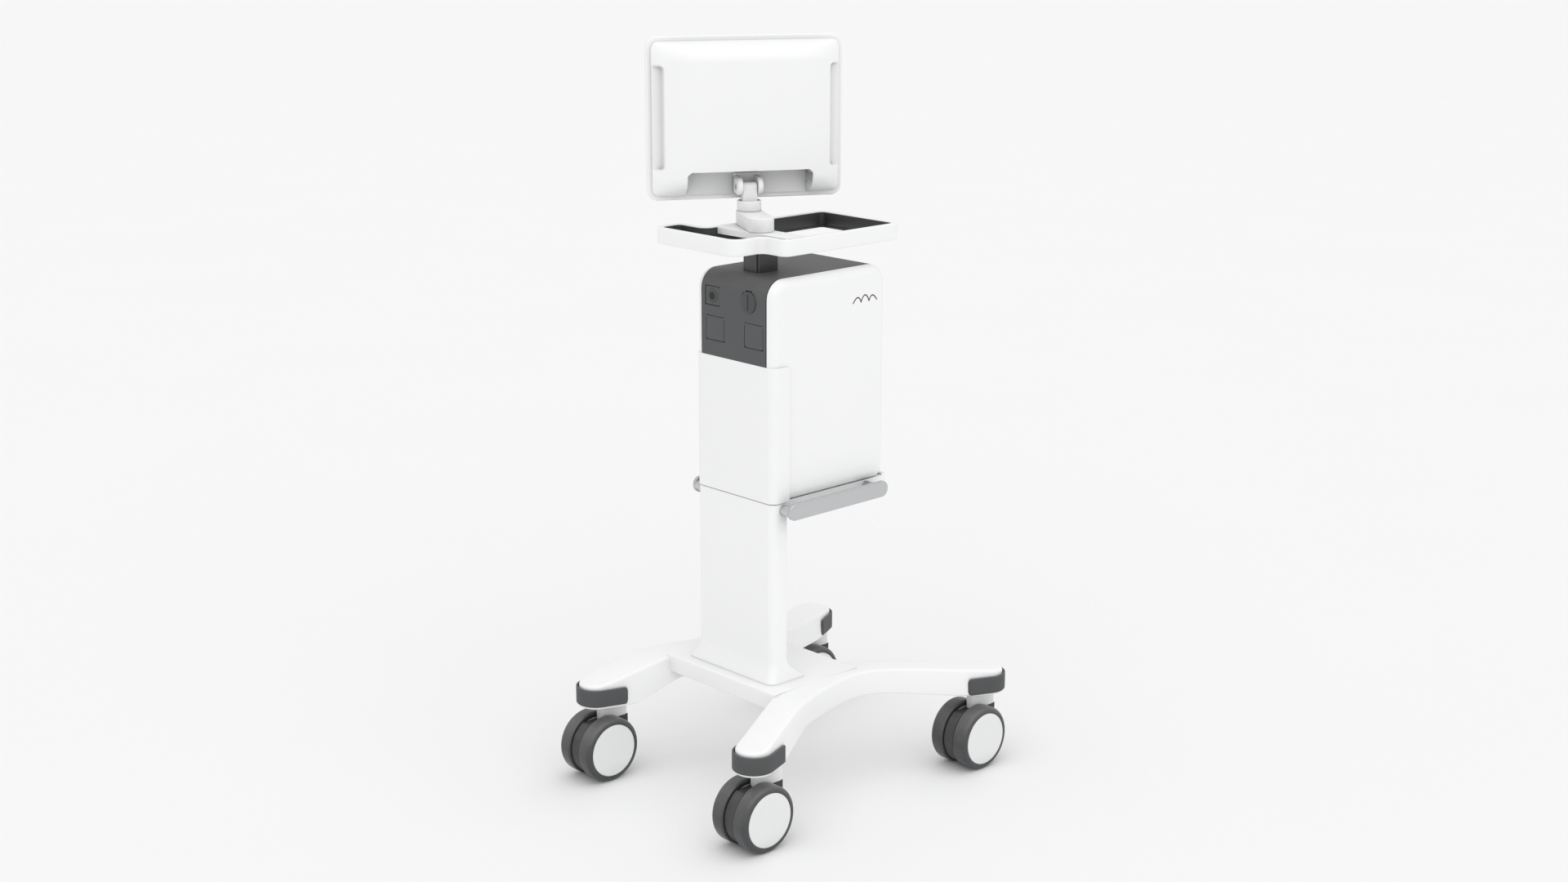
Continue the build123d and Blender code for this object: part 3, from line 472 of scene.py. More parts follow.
leg = {
    "line": [(221.5, 287.5), (172, 146), (137, 0), (148, -115), (182, -192), (239.2, -310.6)],
    "half": 36.5, "topEdge": 6.0, "bottomEdge": 3.0, "draft": 3.0, "crown": 1.6, "ridge": 1.5,
    "topMiddle": 236.0, "topTip": 193.0, "bottomMiddle": 187.0, "bottomTip": 146.0,
    "topFront": (-330.0, -40.0), "topRear": (300.0, 165.0),
    "bottomFront": (-270.0, -40.0), "bottomRear": (232.0, 150.0),
}


def naturalSpline(points, count):
    # a cubic through the points, with no bend at its ends: second derivatives m solve the usual
    # three-term equations over the chord lengths h
    points = np.array(points, float)
    h = np.linalg.norm(np.diff(points, axis=0), axis=1)
    knots = np.concatenate([[0], np.cumsum(h)])
    size = len(points)
    system = np.eye(size)
    inner = np.arange(1, size - 1)
    system[inner, inner - 1], system[inner, inner + 1] = h[:-1], h[1:]
    system[inner, inner] = 2 * (h[:-1] + h[1:])
    slopes = np.diff(points, axis=0) / h[:, None]
    right = np.zeros((size, 2))
    right[1:-1] = 6 * np.diff(slopes, axis=0)
    m = np.linalg.solve(system, right)
    t = np.linspace(0, knots[-1], count)
    k = np.clip(np.searchsorted(knots, t, "right") - 1, 0, size - 2)
    a, b = (knots[k + 1] - t)[:, None], (t - knots[k])[:, None]
    step = h[k][:, None]
    curve = (m[k] * a ** 3 + m[k + 1] * b ** 3) / (6 * step)
    curve += (points[k] / step - m[k] * step / 6) * a + (points[k + 1] / step - m[k + 1] * step / 6) * b
    return curve


def bandOutline(line, half, sideCount=72, tipCount=24):
    # the edge of a band of constant half width: along one side, round the tip, back, round the other tip
    curve = naturalSpline(line, sideCount)
    along = np.gradient(curve, axis=0)
    along /= np.linalg.norm(along, axis=1, keepdims=True)
    across = np.stack([-along[:, 1], along[:, 0]], 1)
    angles = np.linspace(0, pi, tipCount + 2)[1:-1, None]
    frontTip = across[-1] * np.cos(angles) + along[-1] * np.sin(angles)
    rearTip = -across[0] * np.cos(angles) - along[0] * np.sin(angles)
    outward = np.concatenate([across, frontTip, -across[::-1], rearTip])
    centres = np.concatenate([curve, np.repeat(curve[-1:], tipCount, 0), curve[::-1],
                              np.repeat(curve[:1], tipCount, 0)])
    shift = tipCount // 2                       # starts in the middle of the rear tip, for a ladder of rungs
    outward, centres = np.roll(outward, shift, 0), np.roll(centres, shift, 0)
    return centres + outward * half, outward


def softRamp(y, start, end, ease=0.07):
    # 0 before start and 1 after end, straight between and rounded at both corners: the difference of two
    # soft-plus curves one unit apart
    t = (y - start) / (end - start)
    return ease * (np.logaddexp(0, t / ease) - np.logaddexp(0, (t - 1) / ease))


def legLevel(y, key):
    rise = softRamp(y, *leg[key + "Front"]) * softRamp(y, *leg[key + "Rear"])
    return leg[key + "Tip"] + (leg[key + "Middle"] - leg[key + "Tip"]) * rise


def makeLeg():
    loop = bandOutline(leg["line"], leg["half"])
    bottomInset, bottomDrop = roundEdge(leg["bottomEdge"], 4, fromSide=False)
    topInset, topDrop = roundEdge(leg["topEdge"], 7)
    crownInset = np.linspace(0, leg["half"] - leg["topEdge"] - leg["draft"] - leg["ridge"], 8)[1:]
    crownRise = leg["crown"] * np.sin(crownInset / crownInset[-1] * pi / 2)
    crownInset = leg["topEdge"] + leg["draft"] + crownInset
    insets = np.concatenate([bottomInset, topInset + leg["draft"], crownInset])
    lifts = np.concatenate([bottomDrop, -leg["crown"] - topDrop, crownRise - leg["crown"]])
    fromTop = np.repeat([False, True], [len(bottomInset), len(topInset) + len(crownInset)])
    points, outward = loop
    flat = points[None] - insets[:, None, None] * outward[None]
    level = np.where(fromTop[:, None], legLevel(flat[..., 1], "top"), legLevel(flat[..., 1], "bottom"))
    rings = np.concatenate([flat, (level + lifts[:, None])[..., None]], -1)
    return [shell(rings, "ladder")]


bumper = {"proud": 3.0, "bury": 1.0, "low": 151.0, "high": 185.0, "reach": 50.0, "endCorner": 7.0,
          "edge": 1.8, "thinRun": 3.0, "straightSteps": 28, "roundSteps": 30}


def makeBumper(line):
    # a rounded strip bent round a tip: straight for its reach, then half a turn, then straight again;
    # its height falls to nothing over a corner radius at both ends
    curve = naturalSpline(line, 200)
    tip, along = curve[-1], curve[-1] - curve[-2]
    along /= np.linalg.norm(along)
    across = np.array([-along[1], along[0]])
    back = np.linspace(bumper["reach"], 0, bumper["straightSteps"])
    lengths = np.linalg.norm(curve[-1] - curve, axis=1)
    order = np.argsort(lengths)
    centres = np.stack([np.interp(back, lengths[order], curve[order, k]) for k in (0, 1)], 1)
    spread = np.gradient(centres, axis=0)
    spread /= np.linalg.norm(spread, axis=1, keepdims=True)
    sideways = np.stack([-spread[:, 1], spread[:, 0]], 1)
    angles = np.linspace(0, pi, bumper["roundSteps"] + 2)[1:-1, None]
    roundTip = across * np.cos(angles) + along * np.sin(angles)
    outward = np.concatenate([sideways, roundTip, -sideways[::-1]])
    middle = np.concatenate([centres, np.repeat(tip[None], bumper["roundSteps"], 0), centres[::-1]])
    path = middle + outward * leg["half"]
    run = np.concatenate([[0], np.cumsum(np.linalg.norm(np.diff(path, axis=0), axis=1))])
    fromEnd = np.minimum(run, run[-1] - run)
    corner = bumper["endCorner"]
    short = np.clip(corner - fromEnd, 0, corner)
    cut = corner - np.sqrt(np.maximum(corner ** 2 - short ** 2, 0.01))
    halfHeight = (bumper["high"] - bumper["low"]) / 2
    centreZ = (bumper["high"] + bumper["low"]) / 2
    thick = bumper["proud"] + bumper["bury"]
    section = rectangle(thick / 2, halfHeight, bumper["edge"], 5)[0]
    thin = np.clip(fromEnd / bumper["thinRun"], 0.25, 1)
    offset = (section[None, :, 0] + thick / 2) * thin[:, None] - bumper["bury"]
    height = section[None, :, 1] * ((halfHeight - cut) / halfHeight)[:, None] + centreZ
    flat = path[:, None] + outward[:, None] * offset[..., None]
    return shell(np.concatenate([flat, height[..., None]], -1))


rightLeg = makeLeg()
addPiece("sideMemberRight", rightLeg, whiteCoat, "cart", ["side_member_right"])
addPiece("sideMemberLeft", mirroredX(rightLeg), whiteCoat, "cart", ["side_member_left"])
bumpers = [makeBumper(leg["line"]), makeBumper(leg["line"][::-1])]
addPiece("tipBumpers", bumpers + mirroredX(bumpers), bumperRubber, "cart", ["leg_bumpers"])

plateLow, plateHigh = boxOf("centre_plate")
plate = {"edge": 3.0, "half": 150.0}
plateLoop = rectangle((plateHigh[1] - plateLow[1]) / 2, (plateHigh[2] - plateLow[2]) / 2, plate["edge"], 6,
                      centre=((plateHigh[1] + plateLow[1]) / 2, (plateHigh[2] + plateLow[2]) / 2))
plateRings = carried(plateLoop, [(0, -plate["half"]), (0, plate["half"])])[..., [2, 0, 1]]
addPiece("centrePlate", [shell(plateRings)], whiteCoat, "cart", ["centre_plate"])
print("base made")


# column

coverLow, coverHigh = boxOf("column_lower_cover")
wrapLow, wrapHigh = boxOf("column_upper_cover")
column = {"half": 105.0, "front": 95.0, "rear": 131.5, "corner": 17.0, "frontCorner": 3.0,
          "footTop": 277.0, "flare": 12.0, "flareFront": 33.0, "flareRear": 15.0, "lip": 3.0,
          "wall": 2.5, "wrapFront": 90.0, "shoulder": 12.0}


def channelRing(half, front, rear, frontCorner, rearCorner, z, steps=10):
    corners = [(-half, front), (half, front), (half, rear), (-half, rear)]
    flat = roundedLoop(corners, [frontCorner, frontCorner, rearCorner, rearCorner], steps)[0]
    return np.concatenate([flat, np.full((len(flat), 1), z)], 1)


def makeLowerCover():
    # the foot spreads as the square of the distance below its top edge
    floor = coverLow[2]
    levels = np.concatenate([[floor, floor + column["lip"]], np.linspace(floor + column["lip"] + 0.5,
                             column["footTop"], 14), [coverHigh[2] - 1.2, coverHigh[2] - 0.4, coverHigh[2]]])
    spread = np.clip((column["footTop"] - levels) / (column["footTop"] - floor - column["lip"]), 0, 1) ** 2.0
    pinch = np.array([0.0] * (len(levels) - 2) + [0.3, 1.2])
    c, rings = column, []
    for s, z, p in zip(spread, levels, pinch):
        half = c["half"] + c["flare"] * s - p
        front = c["front"] - c["flareFront"] * s + p
        rear = c["rear"] + c["flareRear"] * s - p
        rings.append(channelRing(half, front, rear, c["frontCorner"], c["corner"], z))
    return [shell(rings)]


def makeUpperCover():
    # a U in plan, and near the top its two front edges step back round a quarter circle
    half, rear, wall = wrapHigh[0], wrapHigh[1], column["wall"]
    top, low, r = wrapHigh[2], wrapLow[2], column["shoulder"]
    angles = np.linspace(0, pi / 2, 9)
    levels = np.concatenate([[low, low + 0.8], top - r + r * np.sin(angles)])
    retreats = np.concatenate([[0.0, 0.0], r - r * np.cos(angles)])
    pinch = np.zeros(len(levels))
    pinch[0] = 0.8
    rings = []
    for z, retreat, p in zip(levels, retreats, pinch):
        front = column["wrapFront"] + retreat
        inner, back = half - wall, rear - wall
        corners = [(-half + p, front), (-inner, front), (-inner, back), (inner, back),
                   (inner, front), (half - p, front), (half - p, rear - p), (-half + p, rear - p)]
        radii = [0.9, 0.6, column["corner"] - wall, column["corner"] - wall, 0.6, 0.9, column["corner"],
                 column["corner"]]
        flat = roundedLoop(corners, radii, 9)[0]
        rings.append(np.concatenate([flat, np.full((len(flat), 1), z)], 1))
    return [shell(rings)]


addPiece("columnLowerCover", makeLowerCover(), whitePlastic, "cart", ["column_lower_cover"])
addPiece("columnUpperCover", makeUpperCover(), whitePlastic, "cart", ["column_upper_cover"], bevel=0.7)

railLow, railHigh = boxOf("rails")
rail = {"thick": 8.0, "edge": 2.2, "backEdge": 0.8, "endFlat": 0.4}
railLoop = rectangle((railHigh[1] - railLow[1]) / 2, (railHigh[2] - railLow[2]) / 2,
                     (railHigh[2] - railLow[2]) / 2 - rail["endFlat"], 14,
                     centre=((railHigh[1] + railLow[1]) / 2, (railHigh[2] + railLow[2]) / 2))
railRings = carried(railLoop, slabProfile(railHigh[0] - rail["thick"], railHigh[0], rail["backEdge"],
                                          rail["edge"]))[..., [2, 0, 1]]
rightRail = [shell(railRings)]
addPiece("rails_", rightRail + mirroredX(rightRail), railMetal, "cart", ["rails"])
print("column and rails made")


# ventilator case

caseLow = boxOf("side_shell_left")[0]
caseHigh = boxOf("side_shell_right")[1]
case = {"topRadius": 36.0, "lowRadius": 20.0, "endRadius": 17.0, "seam": 0.35, "seamEdge": 0.5, "inRear": 0.4}
bandHalf = boxOf("centre_cover")[1][0]


def caseLoop(steps=14):
    y0, z0, y1, z1 = caseLow[1], caseLow[2], caseHigh[1] - case["inRear"], caseHigh[2]
    corners = [(y0, z0), (y1, z0), (y1, z1), (y0, z1)]
    radii = [case["lowRadius"]] * 2 + [case["topRadius"]] * 2
    return roundedLoop(corners, radii, steps)


def makeSideShell():
    # the case's outline carried outwards, drawn in along a quarter circle at the end face
    r, end = case["endRadius"], caseHigh[0]
    start = bandHalf + case["seam"]
    angles = np.linspace(np.arcsin((start + case["seamEdge"] - end + r) / r), pi / 2, 14)
    profile = np.stack([r - r * np.cos(angles), end - r + r * np.sin(angles)], 1)
    seam = [(case["seamEdge"], start)]
    return [shell(carried(caseLoop(), np.concatenate([seam, profile]))[..., [2, 0, 1]])]


rightShell = makeSideShell()
addPiece("sideShellRight", rightShell, whitePlastic, "cart", ["side_shell_right"])
addPiece("sideShellLeft", mirroredX(rightShell), whitePlastic, "cart", ["side_shell_left"])

band = {"cell": 1.5, "flapGap": 0.9, "flapDeep": 27.0, "socketDeep": 11.0, "socketGap": 0.3,
        "lockDeep": 8.0, "lockLip": 0.6,
        "rearLow": 835.0, "roundIn": 8.0,
        "grilleSlots": 9, "grilleHalf": 46.0, "grilleLow": 690.0, "grillePitch": 9.0,
        "slotHalf": 1.8, "slotDeep": 4.0}


def withEdges(values, edges, hair=0.06):
    edges = np.array(edges, float)
    return np.unique(np.concatenate([values, edges - hair, edges + hair]).round(4))


def within(x, z, low, high):
    return (x > low[0]) & (x < high[0]) & (z > low[1]) & (z < high[1])


def makeBand():
    # the case's outline carried across its middle; behind and in front, points sink straight in
    # where something sits or where air goes through
    recesses = []
    for node in ("flap_left", "flap_right"):
        low, high = boxOf(node)
        gap = band["flapGap"]
        recesses.append(((low[0] - gap, low[2] - gap), (high[0] + gap, high[2] + gap), band["flapDeep"], 1))
    low, high = boxOf("socket_plate")
    gap = band["socketGap"]
    recesses.append(((low[0] - gap, low[2] - gap), (high[0] + gap, high[2] + gap), band["socketDeep"], 1))
    for k in range(band["grilleSlots"]):
        z, reach, half = band["grilleLow"] + k * band["grillePitch"], band["grilleHalf"], band["slotHalf"]
        recesses.append(((-reach, z - half), (reach, z + half), band["slotDeep"], -1))
    lockMid, lockHalf = midOf("lock_disc"), boxOf("lock_disc")[1][0] - midOf("lock_disc")[0]

    half = bandHalf
    x = np.linspace(-half, half, int(2 * half / band["cell"]) + 1)
    x = withEdges(x, [edge for low, high, _, _ in recesses for edge in (low[0], high[0])])
    x = x[np.abs(x) <= half]
    loop = caseLoop()[0]
    rearEdges = [edge for low, high, _, side in recesses if side > 0 for edge in (low[1], high[1])]
    frontEdges = [edge for low, high, _, side in recesses if side < 0 for edge in (low[1], high[1])]
    rearZ = withEdges(np.arange(band["rearLow"], caseHigh[2] - case["topRadius"], band["cell"]), rearEdges)
    rearZ = rearZ[rearZ < caseHigh[2] - case["topRadius"] - 0.1]
    frontZ = withEdges([], frontEdges)
    rearY, frontY = loop[:, 0].max(), loop[:, 0].min()
    rearLine = np.stack([np.full_like(rearZ, rearY), rearZ], 1)
    frontLine = np.stack([np.full_like(frontZ, frontY), frontZ[::-1]], 1)
    steps = len(loop) // 4
    path = np.concatenate([loop[:2 * steps], rearLine, loop[2 * steps:], frontLine])
    lines = np.broadcast_to(path[:, None], (len(path), len(x), 2)).copy()
    across = np.broadcast_to(x[None], lines.shape[:2])
    nearRear, nearFront = path[:, :1] > rearY - band["roundIn"], path[:, :1] < frontY + 0.01
    for low, high, deep, side in recesses:
        floor, near = (rearY - deep, nearRear) if side > 0 else (frontY + deep, nearFront)
        inside = within(across, lines[..., 1], low, high) & near
        lines[..., 0] = np.where(inside, floor, lines[..., 0])
    inside = np.hypot(across - lockMid[0], lines[..., 1] - lockMid[2]) < lockHalf - band["lockLip"]
    inside &= nearRear
    lines[..., 0] = np.where(inside, rearY - band["lockDeep"], lines[..., 0])
    rings = np.concatenate([across[..., None], lines], -1).transpose(1, 0, 2)
    return [shell(rings)]


addPiece("caseBand", makeBand(), greyPlastic, "cart", ["centre_cover", "front_panel"], crease=30)

flapShape = {"corner": 4.0, "edge": 0.9, "backEdge": 0.4, "sunk": 0.2}


def makeFlap(node):
    low, high = boxOf(node)
    mid, half = (low + high) / 2, (high - low) / 2
    loop = rectangle(half[0], half[2], flapShape["corner"], 6, centre=(mid[0], mid[2]))
    rings = carried(loop, slabProfile(low[1], high[1] - flapShape["sunk"], flapShape["backEdge"],
                                      flapShape["edge"], 4))[..., [0, 2, 1]]
    return [shell(rings)]


addPiece("flapLeft", makeFlap("flap_left"), greyPlastic, "flap_left", ["flap_left"])
addPiece("flapRight", makeFlap("flap_right"), greyPlastic, "flap_right", ["flap_right"])

lock = {"edge": 1.1, "backEdge": 0.4, "shaft": 19.0, "slotHalf": 1.5, "slotReach": 15.0, "slotDeep": 2.6,
        "slotProud": 0.05}


def makeLock():
    # a round slab in front of its shaft, and the coin slot as a near-black painted shadow just proud of its
    # face, standing in for the shade inside the slot
    low, high = boxOf("lock_disc")
    centre = ((low[0] + high[0]) / 2, (low[2] + high[2]) / 2)
    radius, face = (high[2] - low[2]) / 2, high[1]
    loop = rectangle(radius, radius, radius - 0.01, 16, centre)
    disc = carried(loop, slabProfile(low[1] + lock["shaft"], face, lock["backEdge"], lock["edge"], 5))
    loop = rectangle(lock["slotHalf"], lock["slotReach"], lock["slotHalf"] - 0.05, 6, centre)
    slot = carried(loop, [(0, face - lock["slotDeep"]), (0, face + lock["slotProud"])])
    addPiece("lockDisc", [shell(disc[..., [0, 2, 1]])], darkPlastic, "lock", ["lock_disc"])
    addPiece("lockSlot", [shell(slot[..., [0, 2, 1]])], slotBlack, "lock")


makeLock()

socket = {"frameEdge": 1.2, "backEdge": 0.4, "gap": 0.2, "corner": 3.0, "deep": 10.0, "plateSunk": 1.2,
          "collar": 13.5, "collarSunk": 0.5, "lip": 0.3, "lipEdge": 0.8, "bore": 7.0, "holeDeep": 9.0,
          "holeSunk": 1.0}


def makeSocket():
    # the plate's rounded slab, a collar turned about the socket's axis, and a near-black painted shadow as
    # the floor of its bore
    s = socket
    low, high = boxOf("socket_plate")
    half = (high - low) / 2
    centre = ((low[0] + high[0]) / 2, (low[2] + high[2]) / 2)
    face, top = high[1], high[1] - s["collarSunk"]
    loop = rectangle(half[0] - s["gap"], half[2] - s["gap"], s["corner"], 6, centre)
    slab = slabProfile(face - s["deep"], face - s["plateSunk"], s["backEdge"], s["frameEdge"], 4)
    slab = carried(loop, slab)
    back = top - s["deep"]
    corners = [(top, s["bore"]), (top, s["collar"]), (back, s["collar"]), (back, s["bore"])]
    profile = roundedLoop(corners, [s["lip"], s["lipEdge"], s["lipEdge"], s["lip"]], 4)[0]
    ring = turned(profile, 64)[..., [1, 0, 2]] + np.array([centre[0], 0, centre[1]])
    loop = rectangle(s["bore"] + s["gap"], s["bore"] + s["gap"], s["bore"], 12, centre)
    hole = carried(loop, [(0, face - s["holeDeep"]), (0, face - s["holeSunk"])])
    addPiece("socketPlate", [shell(slab[..., [0, 2, 1]])], greyPlastic, "cart", ["socket_plate"])
    addPiece("socketCollar", [shell(ring, "ring")], darkPlastic, "cart")
    addPiece("socketHole", [shell(hole[..., [0, 2, 1]])], slotBlack, "cart")


makeSocket()

mark = {"width": 62.0, "height": 13.0, "line": 2.4, "front": 26.0, "below": 66.0, "thick": 0.12, "bury": 0.3}


def makeMark():
    # a breathing curve as a thin ribbon: z = h |sin|^0.7 of a rising phase, drawn on the case's left side
    t = np.linspace(0, 1, 160)
    y = caseLow[1] + mark["front"] + mark["width"] * (1 - t)
    wave = np.abs(np.sin(t * 3 * pi)) ** 0.7 * (0.55 + 0.45 * np.sin(t * pi))
    z = caseHigh[2] - mark["below"] + mark["height"] * wave
    line = np.stack([y, z], 1)
    along = np.gradient(line, axis=0)
    along /= np.linalg.norm(along, axis=1, keepdims=True)
    across = np.stack([-along[:, 1], along[:, 0]], 1) * mark["line"] / 2
    face = -caseHigh[0] - mark["thick"]
    back = face + mark["bury"]
    corners = [(line + across, face), (line - across, face), (line - across, back), (line + across, back)]
    rings = np.stack([np.concatenate([np.full((len(t), 1), x), flat], 1) for flat, x in corners], 1)
    return [shell(rings)]


addPiece("breathMark", makeMark(), printInk, "cart")
print("case made")


# post and tray

postLow, postHigh = boxOf("post")
post = {"corner": 5.0, "rearCorner": 1.5, "notch": 2.6, "notchFrom": 2.5, "notchTo": 7.0, "notchEdge": 0.5,
        "root": 14.0}


def makePost():
    # a square post with one upright notch beside a rear corner
    x0, x1, y0, y1 = postLow[0], postHigh[0], postLow[1], postHigh[1]
    near, far, floor = x0 + post["notchFrom"], x0 + post["notchTo"], y1 - post["notch"]
    corners = [(x0, y0), (x1, y0), (x1, y1), (far, y1), (far, floor), (near, floor), (near, y1), (x0, y1)]
    radii = [post["corner"]] * 3 + [post["notchEdge"]] * 4 + [post["rearCorner"]]
    loop = roundedLoop(corners, radii, 5)
    return [shell(carried(loop, [(0, postLow[2] + post["root"]), (0, postHigh[2])]))]


addPiece("trayPost", makePost(), postPlastic, "cart", ["post"])

trayLow, trayHigh = boxOf("tray_rim")
tray = {
    "outline": [(-106, -197.5), (106, -197.5), (106, 103.5), (175, 103.5),
                (175, 172), (-48, 172), (-48, 103.5), (-106, 103.5)],
    "radii": [24, 24, 8, 20, 22, 30, 14, 18],
    "rim": 12.0, "edge": 2.2, "liner": 2.5, "linerBury": 0.6, "linerUp": 0.6, "linerDrop": 0.8,
    "linerEdge": 0.7, "lipIn": 1.0, "lip": 5.0, "lipTop": 3.4, "lipEdge": 1.0,
    "half": 106.0, "platformBury": 1.0, "platformFront": 40.0, "platformRear": 87.0, "platformDown": 12.0,
    "platformProud": 0.5, "platformLowEdge": 0.5, "platformEdge": 1.2, "platformCorner": 2.0,
}


def trayPart(inset, width, low, high, edge):
    loop = roundedLoop(tray["outline"], tray["radii"], 12)
    profile = rectangle(width / 2, (high - low) / 2, edge, 5, centre=(inset + width / 2, (high + low) / 2))[0]
    return shell(carried(loop, profile), "ring")


rimShape = trayPart(0, tray["rim"], trayLow[2], trayHigh[2], tray["edge"])
addPiece("trayRim", [rimShape], whitePlastic, "cart", ["tray_rim"])
linerFoot = trayLow[2] + tray["linerUp"]
linerWall = trayPart(tray["rim"] - tray["linerBury"], tray["liner"] + tray["linerBury"], linerFoot,
                     trayHigh[2] - tray["linerDrop"], tray["linerEdge"])
linerLip = trayPart(tray["rim"] + tray["lipIn"], tray["lip"], linerFoot, trayLow[2] + tray["lipTop"],
                    tray["lipEdge"])
addPiece("trayLiner", [linerWall, linerLip], linerRubber, "cart", ["tray_liner"])

innerHalf = tray["half"] - tray["rim"] - tray["liner"] + tray["platformBury"]
platformMid = (tray["platformRear"] + tray["platformFront"]) / 2
platformLoop = rectangle(innerHalf, (tray["platformRear"] - tray["platformFront"]) / 2,
                         tray["platformCorner"], 4, centre=(0, platformMid))
platformProfile = slabProfile(trayHigh[2] - tray["platformDown"], trayHigh[2] + tray["platformProud"],
                              tray["platformLowEdge"], tray["platformEdge"], 3)
platformRings = carried(platformLoop, platformProfile)
addPiece("trayPlatform", [shell(platformRings)], whitePlastic, "cart", ["tray_platform"])
print("tray made")


# arm, neck and monitor, drawn facing -Y from the post's axis and swung round with the frame

tiltAxis = joints["monitor_tilt"]["axis"]
swing = atan2(tiltAxis[1], tiltAxis[0])
pivot = np.array(joints["arm_swing"]["pos_m"][:2]) * perMetre
tiltPlace = np.array(joints["monitor_tilt"]["pos_m"]) * perMetre
reachArm = float(np.linalg.norm(tiltPlace[:2] - pivot))


def swung(rings):
    # a turn about the post's axis: x' = x cos s - y sin s, y' = x sin s + y cos s
    rings = np.asarray(rings, float)
    x = rings[..., 0] * cos(swing) - rings[..., 1] * sin(swing) + pivot[0]
    y = rings[..., 0] * sin(swing) + rings[..., 1] * cos(swing) + pivot[1]
    return np.stack([x, y, rings[..., 2]], -1)


arm = {"low": 1062.0, "high": 1087.0, "radius": 24.4, "topEdge": 1.6, "lowEdge": 1.0}
armLoop = rectangle(arm["radius"], reachArm / 2 + arm["radius"], arm["radius"] - 0.05, 18,
                    centre=(0, -reachArm / 2))
armProfile = slabProfile(arm["low"], arm["high"], arm["lowEdge"], arm["topEdge"], 5)
addPiece("swingArm", [shell(swung(carried(armLoop, armProfile)))], whitePlastic, "arm", ["arm"])

neck = {"radius": 22.5, "low": 1087.5, "high": 1106.0, "core": 0.3, "wellRadius": 19.0, "wellDown": 2.0,
        "wellEdge": 0.8, "topEdge": 1.4, "lowEdge": 1.0, "rootUp": 8.0,
        "tongueHalf": 14.0, "tongueThick": 8.5, "tongueEdge": 2.4}


def makeNeck():
    # the collar is turned about its upright axis, with a shallow well in its top for the tongue
    c = neck
    wellFloor = c["high"] - c["wellDown"]
    outline = [(c["low"], c["core"]), (wellFloor, c["core"]), (wellFloor, c["wellRadius"]),
               (c["high"], c["wellRadius"]), (c["high"], c["radius"]), (c["low"], c["radius"])]
    outer = roundedLoop(outline, [0.1, 0.1, c["wellEdge"], c["wellEdge"], c["topEdge"], c["lowEdge"]], 5)[0]
    collar = turned(outer, 80)[..., [1, 2, 0]] + np.array([0, -reachArm, 0])
    t, root, top = c["tongueThick"], c["low"] + c["rootUp"], tiltPlace[2] + c["tongueThick"]
    tongueLoop = roundedLoop([(-t, root), (t, root), (t, top), (-t, top)], [1, 1, t - 0.05, t - 0.05], 14)
    edges = slabProfile(-c["tongueHalf"], c["tongueHalf"], c["tongueEdge"], c["tongueEdge"], 5)
    tongue = carried(tongueLoop, edges)[..., [2, 0, 1]] + np.array([0, -reachArm, 0])
    return [shell(swung(collar), "ring"), shell(swung(tongue))]


addPiece("tiltNeck", makeNeck(), whitePlastic, "neck", ["neck"])

ear = {"inner": 14.6, "innerEdge": 0.8, "thick": 10.5, "radius": 16.0, "dome": 6.0, "bury": 1.0, "slope": 4.0,
       "plateTop": 24.0, "plateLow": 14.0, "plate": 5.0, "plateCorner": 5.0, "plateBury": 0.5,
       "plateEdge": 2.0}
screenBack = -112.0
bayFloor = screenBack + 4.0


def makeEars():
    # each ear is a disc with a domed outer face that runs back into the foot plate
    e = ear
    mid = np.array([0.0, -reachArm, tiltPlace[2]])
    shells, r, root = [], e["radius"], bayFloor - mid[1] - e["bury"]
    corners = [(root, -e["plateLow"]), (r, -r), (r, r), (root, e["plateTop"] - e["slope"])]
    loop = roundedLoop(corners, [1.0, r - 0.1, r - 0.1, 1.0], 12)
    inset, drop = roundEdge(e["dome"], 8)
    inside = np.array([[e["innerEdge"], e["inner"]], [0.0, e["inner"] + e["innerEdge"]]])
    outside = np.stack([inset, e["inner"] + e["thick"] - drop], 1)
    rings = carried(loop, np.concatenate([inside, outside]))[..., [2, 0, 1]]
    for side in (-1, 1):
        shells.append(shell(swung(rings * np.array([side, 1, 1]) + mid)))
    loop = rectangle(e["inner"] + e["thick"], (e["plateTop"] + e["plateLow"]) / 2, e["plateCorner"], 6,
                     centre=(0, tiltPlace[2] + (e["plateTop"] - e["plateLow"]) / 2))
    plate = slabProfile(bayFloor - e["plateBury"], bayFloor + e["plate"], e["plateBury"], e["plateEdge"], 4)
    shells.append(shell(swung(carried(loop, plate)[..., [0, 2, 1]])))
    return shells


addPiece("tiltEars", makeEars(), whitePlastic, "monitor", ["hinge_bracket"])

screen = {"width": 370.0, "height": 298.0, "mid": 1255.0, "bezel": 12.0, "corner": 21.0, "bezelEdge": 4.0,
          "backEdge": 3.0, "frame": 13.3, "frameEdge": 0.8, "sink": 3.0, "floor": 0.3,
          "glassGap": 0.3, "glassCorner": 11.0, "glassBack": 0.2, "glassSunk": 0.4, "glassEdge": 0.5}
pillow = {"margin": 9.0, "corner": 14.0, "cornerGrow": 0.12, "deep": 48.0, "edge": 7.0,
          "sideRun": 95.0, "endRun": 36.0, "soft": 1.6, "bury": 1.0,
          "gripWide": 19.5, "gripLow": 1165.0, "gripHigh": 1351.0, "gripCorner": 6.0, "gripOut": 30.0,
          "bayHalf": 116.0, "bayLow": 1000.0, "bayTop": 1161.0, "bayCorner": 9.0, "bayFloor": 4.0}


